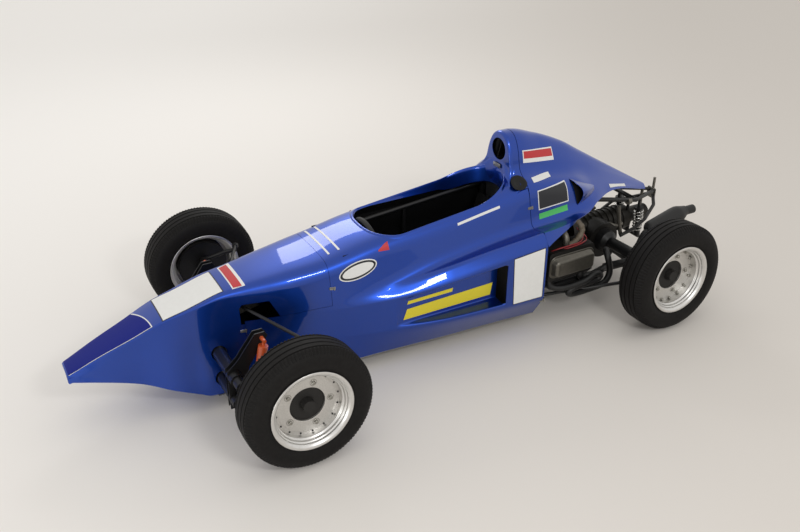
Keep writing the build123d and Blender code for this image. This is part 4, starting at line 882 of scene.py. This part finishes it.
def blister():
    """Blister of the side scoop: between its two edges the surface stands out from the
    cover by a sine arch, which shrinks to nothing towards the rear."""
    rows = []
    for u in np.linspace(0, 1, 24):
        high, low = scoop_edges(u)
        v = np.linspace(0, 1, 21)[:, None]
        flat = high + (low - high) * v
        mouth = 0.030 * np.sin(np.pi * v[:, 0]) * (1 - u)**2
        spot = on_cover(flat[:, 0] - mouth, flat[:, 1])
        arch = scoop_height * np.sin(np.pi * v[:, 0])**0.7 * (1 - u)**0.75
        rows.append(spot + np.column_stack([0 * arch, arch, arch * 0.35]))
    return np.array(rows)


shell = joined_grids("scoop_blister", mirrored(blister()))
dressed(tidy(thickened(tidy(shell, 60), 2 * mm, black_shell_and_shade), 60), None, "chassis", "blue_paint")
# black film on the cover under the blister's mouth: painted shade in place of the dark duct behind it
patch("scoop_duct", [(-1.752, 0.712), (-1.900, 0.652), (-1.900, 0.628), (-1.766, 0.596)], on_cover,
      black_shell_and_shade, film_high, both)

# valance below the cover: a ruled strip from its lip to a foot that rises to meet it
valance_out, valance_low = 0.396, 0.496
x = stations((cover_joint - joint_gap, -1.700), 24, 0)
lip = cover_half(x)[:, -1]
share = (x - x[0]) / (x[-1] - x[0])
foot_out = valance_out + (lip[-1, 1] - valance_out) * share
foot_up = valance_low + (lip[-1, 2] - 0.012 - valance_low) * share**0.8
foot = np.column_stack([at(x), foot_out, foot_up])
ramp = lip[None] + (foot - lip)[None] * np.linspace(0, 1, 8)[:, None, None]
valance = joined_grids("cover_valance", mirrored(ramp))
dressed(tidy(thickened(tidy(valance, 60), 2 * mm, black_shell_and_shade), 60), None, "chassis", "blue_paint")


# black sheets down the cockpit's sides, between the frame and the moulding: painted shade that keeps the inside of
# the cockpit dark
shade_sheet_ends, shade_sheet_heights = (-0.430, -1.468), (0.082, 0.612)
shade_sheet_out, shade_sheet_inset, shade_sheet_lean = 0.204, 0.026, 0.030    # widest, inside the ridge, top's lean
x = stations(shade_sheet_ends, 60, 0)
z = np.linspace(*shade_sheet_heights, 14)[:, None]
rear_part = smooth((-1.20 - x) / 0.15)[None, :]
out = np.minimum(shade_sheet_out, eased(x, sections[:, 0], sections[:, 7])[None, :] - shade_sheet_inset)
out = out - shade_sheet_lean * (1 - rear_part) * smooth((z - 0.44) / 0.16)
shade_sheet = np.stack([np.broadcast_to(at(x), (len(z), len(x))), out + 0 * z, z + 0 * out], -1)
dressed(tidy(joined_grids("cockpit_liners", mirrored(shade_sheet)), 60), black_shell_and_shade)


def superellipse(half_width, half_height, power, count):
    """Points (out, up) round a squared-off oval: each is the sine or cosine of the angle
    raised to the power, with its sign kept, times the half size."""
    a = np.linspace(0, 2 * np.pi, count, endpoint=False)
    c, s = np.cos(a), np.sin(a)
    return np.column_stack([half_width * np.sign(c) * np.abs(c)**power,
                            half_height * np.sign(s) * np.abs(s)**power])


def cross_plate(name, station, height, outline, steps, mat):
    """Plate across the car: its outline, shrunk by each step's share and set ahead by its
    lift, closed in the middle."""
    rows = []
    for share, lift in steps:
        out, up = (outline * share).T
        rows.append(np.column_stack([np.full(len(out), at(station)) + lift, out, height + up]))
    return dressed(tidy(joined_grids(name, [(np.array(rows), False, True)])), mat)


cross_plate("hoop_plate", fairing_front + 0.0050, 0.806, superellipse(0.031, 0.0115, 0.35, 40),
            ((1.0, 0.0), (1.0, 0.0015), (0.94, 0.0022), (0.001, 0.0022)), sheet_alloy)


def latch(name, spot, normal, along):
    """Over-centre latch: a rounded base plate, a raised hook bar and a cross bar, each a
    superellipse carried up the normal and closed on top."""
    n, t = Vector(normal).normalized(), Vector(along).normalized()
    w = n.cross(t)
    grids = []
    for centre, half_l, half_w, height in (
            (0.0, 0.014, 0.007, 0.0022), (0.004, 0.009, 0.0035, 0.0060), (-0.013, 0.004, 0.009, 0.0040)):
        outline = superellipse(half_l, half_w, 0.5, 32)
        rows = []
        for share, h in ((1.0, -0.002), (1.0, height * 0.7), (0.9, height), (0.001, height)):
            o = outline * share + (centre, 0)
            rows.append(np.array(spot) + o[:, :1] * np.array(t) + o[:, 1:] * np.array(w) + h * np.array(n))
        grids.append((np.array(rows), False, True))
    return dressed(tidy(joined_grids(name, grids)), tinned)


latches = (  # station, height, above the groove, direction
    (0.071, 0.354, False, (1, 0, 0.1)), (-0.350, 0.482, True, (1, 0, 0.2)),
    (-1.459, 0.180, False, (1, 0, 0)), (-1.459, 0.640, True, (1, 0, 0)))
for side, word in ((1, "left"), (-1, "right")):
    for i, (x, z, upper, along) in enumerate(latches):
        spot = on_side(x, z, upper)
        latch("latch_%s_%d" % (word, i), spot * (1, side, 1), (0, side, 0.15), along)

# grommet on the left of the fairing: an oval ring on the cover with a sunken middle
grommet_x, grommet_z, grommet_half = -1.420, 0.764, (0.046, 0.027)
grommet_steps = ((1.0, -0.002), (1.0, 0.0008), (0.9, 0.0022), (0.62, 0.0022), (0.55, 0.0004), (0.001, 0.0004))
a = np.linspace(0, 2 * np.pi, 40, endpoint=False)
rows = []
for share, lift in grommet_steps:
    spot = on_cover(grommet_x + grommet_half[0] * share * np.cos(a),
                    grommet_z + grommet_half[1] * share * np.sin(a))
    rows.append(spot + np.array([0, 0.45, 0.9]) * lift)
dressed(tidy(joined_grids("belt_grommet", [(np.array(rows), False, True)])), black_shell_and_shade)


# ---------------------------------------------------------------- engine bay
def curve_through(points, step=0.006):
    """Catmull-Rom curve through the points, sampled about every step."""
    p = np.asarray(points, float)
    p = np.concatenate([[2 * p[0] - p[1]], p, [2 * p[-1] - p[-2]]])
    out = []
    for a, b, c, d in zip(p[:-3], p[1:-2], p[2:-1], p[3:]):
        t = np.linspace(0, 1, max(3, int(np.linalg.norm(c - b) / step)), endpoint=False)[:, None]
        bend, twist = 2 * a - 5 * b + 4 * c - d, 3 * b - a - 3 * c + d
        out.append(0.5 * (2 * b + (c - a) * t + bend * t**2 + twist * t**3))
    return np.concatenate(out + [p[-2:-1]])


def tube_grid(points, radius, segments=16, ripple=0.0, pitch=0.008):
    """Round tube along the curve through the points; the frame is carried along without
    twist.  ripple makes it corrugated."""
    line = curve_through([(at(x), y, z) for x, y, z in points])
    tangent = np.gradient(line, axis=0)
    tangent /= np.linalg.norm(tangent, axis=1, keepdims=True)
    side = np.cross(tangent[0], (0.13, 0.21, 0.97))
    rows = []
    length = np.concatenate([[0], np.cumsum(np.linalg.norm(np.diff(line, axis=0), axis=1))])
    t = np.linspace(0, 2 * np.pi, segments, endpoint=False)[:, None]
    for spot, way, s_at in zip(line, tangent, length):
        side = side - way * np.dot(side, way)
        side /= np.linalg.norm(side)
        swell = radius + ripple * np.sin(2 * np.pi * s_at / pitch)
        rows.append(spot + swell * (np.cos(t) * side + np.sin(t) * np.cross(way, side)))
    rows.insert(0, np.repeat(line[:1], segments, 0))
    rows.append(np.repeat(line[-1:], segments, 0))
    return np.array(rows)


def tubes(name, runs, mat, slot=None, nodes=(), sides=(1, -1), segments=16, ripple=0.0):
    """One object of several tubes, each (points, radius), repeated on both sides."""
    grids = []
    for points, radius in runs:
        grid = tube_grid(points, radius, segments, ripple)
        grids += [(grid * (1, side, 1), False, True) for side in sides]
    return dressed(tidy(joined_grids(name, grids), 45), mat, "chassis", slot, *nodes)


# each side's two pipes: down from the head, back, a tight loop forward and up again
tubes("exhaust_loops", [
    ([(-1.560, 0.300, 0.250), (-1.562, 0.318, 0.205), (-1.620, 0.345, 0.188), (-1.740, 0.365, 0.200),
      (-1.822, 0.368, 0.228), (-1.864, 0.366, 0.212), (-1.850, 0.362, 0.186), (-1.775, 0.358, 0.178),
      (-1.695, 0.356, 0.172), (-1.666, 0.352, 0.152), (-1.695, 0.348, 0.132), (-1.800, 0.345, 0.126),
      (-1.905, 0.343, 0.130), (-1.950, 0.340, 0.160), (-1.960, 0.335, 0.210), (-1.945, 0.325, 0.275),
      (-1.960, 0.285, 0.300), (-2.010, 0.262, 0.260)], 0.0175),
    ([(-1.770, 0.300, 0.250), (-1.775, 0.305, 0.200), (-1.830, 0.300, 0.170), (-1.930, 0.280, 0.170),
      (-2.010, 0.262, 0.178)], 0.0175)], exhaust_black, "black_steel")
# ignition leads: dull dark red
lead_red = material("red_silicone_lead", "#8E1A22", 0.0, 0.4, grain=0.004, darker="#6F1219")
# breather hose: matt brown
hose_brown = material("corrugated_hose", "#6E6456", 0.0, 0.6, grain=0.01, darker="#544B3F")
tubes("ignition_leads", [
    ([(-1.540, 0.300, 0.400), (-1.580, 0.335, 0.428), (-1.650, 0.345, 0.436), (-1.730, 0.330, 0.432),
      (-1.790, 0.280, 0.450)], 0.0035),
    ([(-1.600, 0.310, 0.400), (-1.660, 0.340, 0.420), (-1.740, 0.335, 0.425), (-1.800, 0.290, 0.420),
      (-1.760, 0.250, 0.470)], 0.0035)], lead_red, segments=8)
tubes("breather_hose", [
    ([(-1.700, 0.200, 0.545), (-1.745, 0.262, 0.520), (-1.765, 0.290, 0.475), (-1.730, 0.300, 0.430),
      (-1.680, 0.300, 0.405)], 0.015)], hose_brown, ripple=0.0020)


def rounded_box_rings(centre, half_l, half_h, radius, rings, side):
    """Pressed cover: rounded rectangles in the x-z plane, each inset and set out."""
    rows = []
    q = np.linspace(0, np.pi / 2, 9)
    for inset, out in rings:
        r = max(radius - inset, 0.004)
        l, h = half_l - inset - r, half_h - inset - r
        points = []
        for k, (sx, sz) in enumerate(((1, 1), (-1, 1), (-1, -1), (1, -1))):
            ang = q + k * np.pi / 2
            points.append(np.column_stack([sx * l + r * np.cos(ang), sz * h + r * np.sin(ang)]))
        flat = np.concatenate(points)
        rows.append(np.column_stack([centre[0] + flat[:, 0], np.full(len(flat), side * (centre[1] + out)),
                                     centre[2] + flat[:, 1]]))
    rows.append(np.repeat(rows[-1].mean(0)[None], len(rows[-1]), 0))
    return np.array(rows)


rings = [  # inset, out: flange, step, wall and domed face
    (0.0, 0.0), (0.0, 0.004), (0.002, 0.006), (0.009, 0.006), (0.012, 0.009), (0.017, 0.028),
    (0.020, 0.034), (0.026, 0.0385), (0.034, 0.0400), (0.038, 0.0390), (0.046, 0.0385)]
grids = [(rounded_box_rings((at(-1.666), 0.3455, 0.330), 0.145, 0.064, 0.040, rings, side), False, True)
         for side in (1, -1)]
# pressed rocker covers: satin grey, with a soft mirror; the grey is painted dark for the shade that the engine
# cover and pods cast on them
shaded_pewter = material("satin_pressed_steel", "#716E67", 0.85, 0.36, grain=0.02, darker="#56534C", spread=0.1)
dressed(tidy(joined_grids("rocker_cover_pressings", grids), 40), shaded_pewter, "chassis", "polished_steel",
        "rocker_covers")

# muffler: a tapered can on a slope, and its straight open outlet
muffler_y = 0.300
start, end = np.array([at(-2.235), muffler_y, 0.352]), np.array([at(-2.512), muffler_y, 0.421])
way = (end - start) / np.linalg.norm(end - start)
long = float(np.linalg.norm(end - start))
can = [(0.0, 0.001), (0.0, 0.026), (0.012, 0.040), (0.026, 0.048), (long - 0.075, 0.051),
       (long - 0.055, 0.049), (long - 0.012, 0.030), (long, 0.026)]
can = rounded(np.array([can]), (0.002, 0.008, 0.01, 0.012, 0.012, 0.01), 4, 3)[0]
outlet = [(0.0, 0.0250), (0.120, 0.0250), (0.120, 0.0230), (0.040, 0.0230), (0.040, 0.0001)]
pieces = [turned("muffler_can", can, start, way, 48, False),
          turned("muffler_outlet", outlet, (at(-2.450), muffler_y, 0.416), (-1, 0, 0), 40, False)]
dressed(tidy(merged(pieces, "muffler_shell")), exhaust_black, "chassis", "black_steel", "muffler")

# upright springs below the frame's rear links, on a bar under the gearbox
foot_x, foot_z, coil_x, coil_z, spring_y = -2.392, 0.205, -2.375, 0.425, 0.079


def coil_points(low, high, turns, radius, per_turn=12):
    """Helix about the spring's leaning line between two shares of its length."""
    t = np.linspace(0, 1, turns * per_turn + 1)
    share, a = low + (high - low) * t, 2 * np.pi * turns * t
    x = foot_x + (coil_x - foot_x) * share + radius * np.cos(a)
    return np.column_stack([x, spring_y + radius * np.sin(a), foot_z + (coil_z - foot_z) * share])


# plated spring wire: a hard bright mirror
chrome = material("chromed_spring_wire", "#D4D3D0", 1.0, 0.16, grain=0.01, darker="#B5B4B1")
tubes("spring_coils", [(coil_points(0.13, 0.74, 7, 0.0245), 0.0048)], chrome, "polished_steel",
      ("rear_spring",), segments=10)
tubes("spring_struts", [
    ([(foot_x, spring_y, 0.196), (foot_x, spring_y, 0.235)], 0.0200),
    ([(foot_x, spring_y, 0.205), ((foot_x + coil_x) / 2, spring_y, 0.315),
      (coil_x - 0.002, spring_y, 0.376)], 0.0130),
    ([(coil_x - 0.002, spring_y, 0.368), (coil_x - 0.001, spring_y, 0.380)], 0.0270),
    ([(coil_x - 0.002, spring_y, 0.376), (coil_x, spring_y, 0.424)], 0.0080)], tube_black)
tubes("spring_bar", [([(foot_x, -0.095, 0.192), (foot_x, 0.0, 0.192), (foot_x, 0.095, 0.192)], 0.0100),
                     ([(foot_x, 0.0, 0.192), (foot_x, 0.0, 0.250)], 0.0130)], tube_black, sides=(1,))
tubes("gear_case_brackets", [
    ([(-2.186, 0.112, 0.440), (-2.188, 0.116, 0.400), (-2.200, 0.120, 0.330),
      (-2.218, 0.122, 0.262)], 0.0115),
    ([(-2.150, 0.085, 0.330), (-2.185, 0.112, 0.318), (-2.225, 0.118, 0.325)], 0.0095),
    ([(-2.250, 0.106, 0.452), (-2.278, 0.102, 0.447)], 0.0170)], cast_alloy)

# gearbox: a ribbed case with a plain tailpiece, turned about a line along the car
rib_r, rib_height, rib_pitch, rib_count = 0.0705, 0.006, 0.037, 9
ribs = [(0.0, 0.060)]
for i in range(rib_count):
    along = 0.030 + rib_pitch * i
    ribs += [(along, rib_r), (along + 0.001, rib_r + rib_height), (along + 0.006, rib_r + rib_height),
             (along + 0.007, rib_r)]
ribs += [(0.385, rib_r), (0.388, 0.062), (0.389, 0.046), (0.400, 0.0445), (0.540, 0.0445), (0.544, 0.040),
         (0.544, 0.0001)]
gear_case = turned("gearbox_ribs", ribs, (at(-1.956), 0, 0.296), (-1, 0, 0), 48, False)
# ribbed gearbox case: dark, greasy and unevenly dull
oily = material("oily_ribbed_casting", "#35322D", 0.5, 0.46, grain=0.008, darker="#151412", spread=0.12,
                bump=0.0003)
dressed(tidy(gear_case, 30), oily)
cross_plate("end_plate_face", -2.5429, 0.404, superellipse(0.0325, 0.0325, 0.4, 48),
            ((1.0, 0.0), (1.0, 0.0012), (0.94, 0.0020), (0.001, 0.0020)), tinned)

# ---------------------------------------------------------------- carried-over pieces
finishes = {
    "sheet_aluminium": sheet_alloy, "cast_alloy": cast_alloy, "polished_steel": tinned,
    "black_shell": black_shell_and_shade, "grip_leather": grip, "damper_paint": damper_orange, "black_steel": tube_black,
    "drum_iron": cast_iron, "blue_paint": paint, "tyre_rubber": tyre_rubber, "wheel_alloy": spun_alloy,
}
# engine and gearbox castings under soot and oil: nearly black and unevenly dull
sooty = material("oily_cast_aluminium", "#23211E", 0.4, 0.5, grain=0.006, darker="#100F0E", spread=0.12,
                 bump=0.0003)
own_finish = {"crankcase": sooty, "cylinder_heads": sooty, "gearbox": sooty, "exhaust_headers": exhaust_black}
for row in frame["record"]["subparts"]:
    node = frame["nodes"][row["node"]]
    node.data.materials.clear()
    node.data.materials.append(own_finish.get(row["node"], finishes[row["material_slot"]]))

# ---------------------------------------------------------------- studio
world_strength = 0.95
# painted light and shade on the floor: its colour is a darker grey near the car and nearly white far off
shaded_paper_tone, lit_paper_tone = "#D4CFC9", "#F9F7F4"
painted_light_lean = (0.80, -0.70)                # painted light: the paper is lighter ahead of the car and beyond it, and painted shade makes it darker near the car
painted_light_span = (-2.5, 5.0)
lamps = (  # name, place, aim, size, power
    ("tip_softbox", (4.3, 2.6, 0.60), (1.5, 0.0, 0.28), (1.2, 0.8), 26.0),
    ("side_softbox", (0.35, 4.3, 3.6), (0.4, 0.0, 0.4), (1.0, 0.5), 48.0),
    ("far_softbox", (-1.1, -3.8, 3.2), (-0.2, 0.0, 0.3), (1.8, 1.0), 28.0),
)
reach = 16.0                  # half the side of the studio floor
stage_floor = mesh_object("studio_floor", [(-reach, -reach, 0), (reach, -reach, 0), (reach, reach, 0),
                                           (-reach, reach, 0)], [(0, 1, 2, 3)])
# studio paper: matt, with painted light and shade in its colour, running from a warm grey near the car to nearly
# white ahead of it and beyond it
paper = material("studio_paper", "#DEDCD8", 0.0, 0.9, specular=0.1)
nodes, links = paper.node_tree.nodes, paper.node_tree.links
place = add(nodes, links, "TexCoord")
split = add(nodes, links, "SeparateXYZ", inputs={"Vector": place.outputs["Object"]})
ahead_part = add(nodes, links, "Math", {"operation": "MULTIPLY"}, {0: split.outputs["X"], 1: painted_light_lean[0]})
far_part = add(nodes, links, "Math", {"operation": "MULTIPLY_ADD"}, {0: split.outputs["Y"], 1: painted_light_lean[1],
                                                                     2: ahead_part.outputs[0]})
share = add(nodes, links, "MapRange", {"interpolation_type": "SMOOTHSTEP"}, {
    "Value": far_part.outputs[0], "From Min": painted_light_span[0], "From Max": painted_light_span[1]})
painted_light_tone = add(nodes, links, "Mix", {"data_type": "RGBA"}, {
    "Factor": share.outputs[0], 6: linear(shaded_paper_tone), 7: linear(lit_paper_tone)})
links.new(painted_light_tone.outputs[2], next(n for n in nodes if n.type == "BSDF_PRINCIPLED").inputs["Base Color"])
stage_floor.data.materials.append(paper)

world = bpy.data.worlds.new("studio")
bpy.context.scene.world = world
world.use_nodes = True
back = next(n for n in world.node_tree.nodes if n.type == "BACKGROUND")
back.inputs["Color"].default_value = linear("#F1EFEC")
back.inputs["Strength"].default_value = world_strength

for name, spot, aim, size, power in lamps:
    lamp = bpy.data.lights.new(name, "AREA")
    lamp.shape = "RECTANGLE"
    lamp.size, lamp.size_y = size
    lamp.energy = power
    holder = bpy.data.objects.new(name, lamp)
    bpy.context.scene.collection.objects.link(holder)
    holder.location = spot
    holder.rotation_euler = (Vector(aim) - Vector(spot)).to_track_quat("-Z", "Y").to_euler()

# ---------------------------------------------------------------- camera
azimuth, elevation, roll = math.radians(150.2899), math.radians(29.4325), math.radians(0.5227)
camera_spot = (1.04998, 3.29979, 2.50636)    # from the front axle, the car's middle and the floor
lens, sensor = 38.525, 36.0                  # millimetres
towards = Vector((math.sin(azimuth) * math.cos(elevation), -math.cos(azimuth) * math.cos(elevation),
                  math.sin(elevation)))
right = (-towards).cross(Vector((0, 0, 1))).normalized()
up = right.cross(-towards)
right, up = (right * math.cos(roll) + up * math.sin(roll), up * math.cos(roll) - right * math.sin(roll))
camera = bpy.data.objects.new("camera", bpy.data.cameras.new("camera"))
bpy.context.scene.collection.objects.link(camera)
camera.data.lens = lens
camera.data.sensor_width = sensor
turn = Matrix((right, up, towards)).transposed().to_4x4()
camera.matrix_world = Matrix.Translation((camera_spot[0] + front_x, *camera_spot[1:])) @ turn
bpy.context.scene.camera = camera

bpy.context.scene.view_settings.view_transform = "Standard"
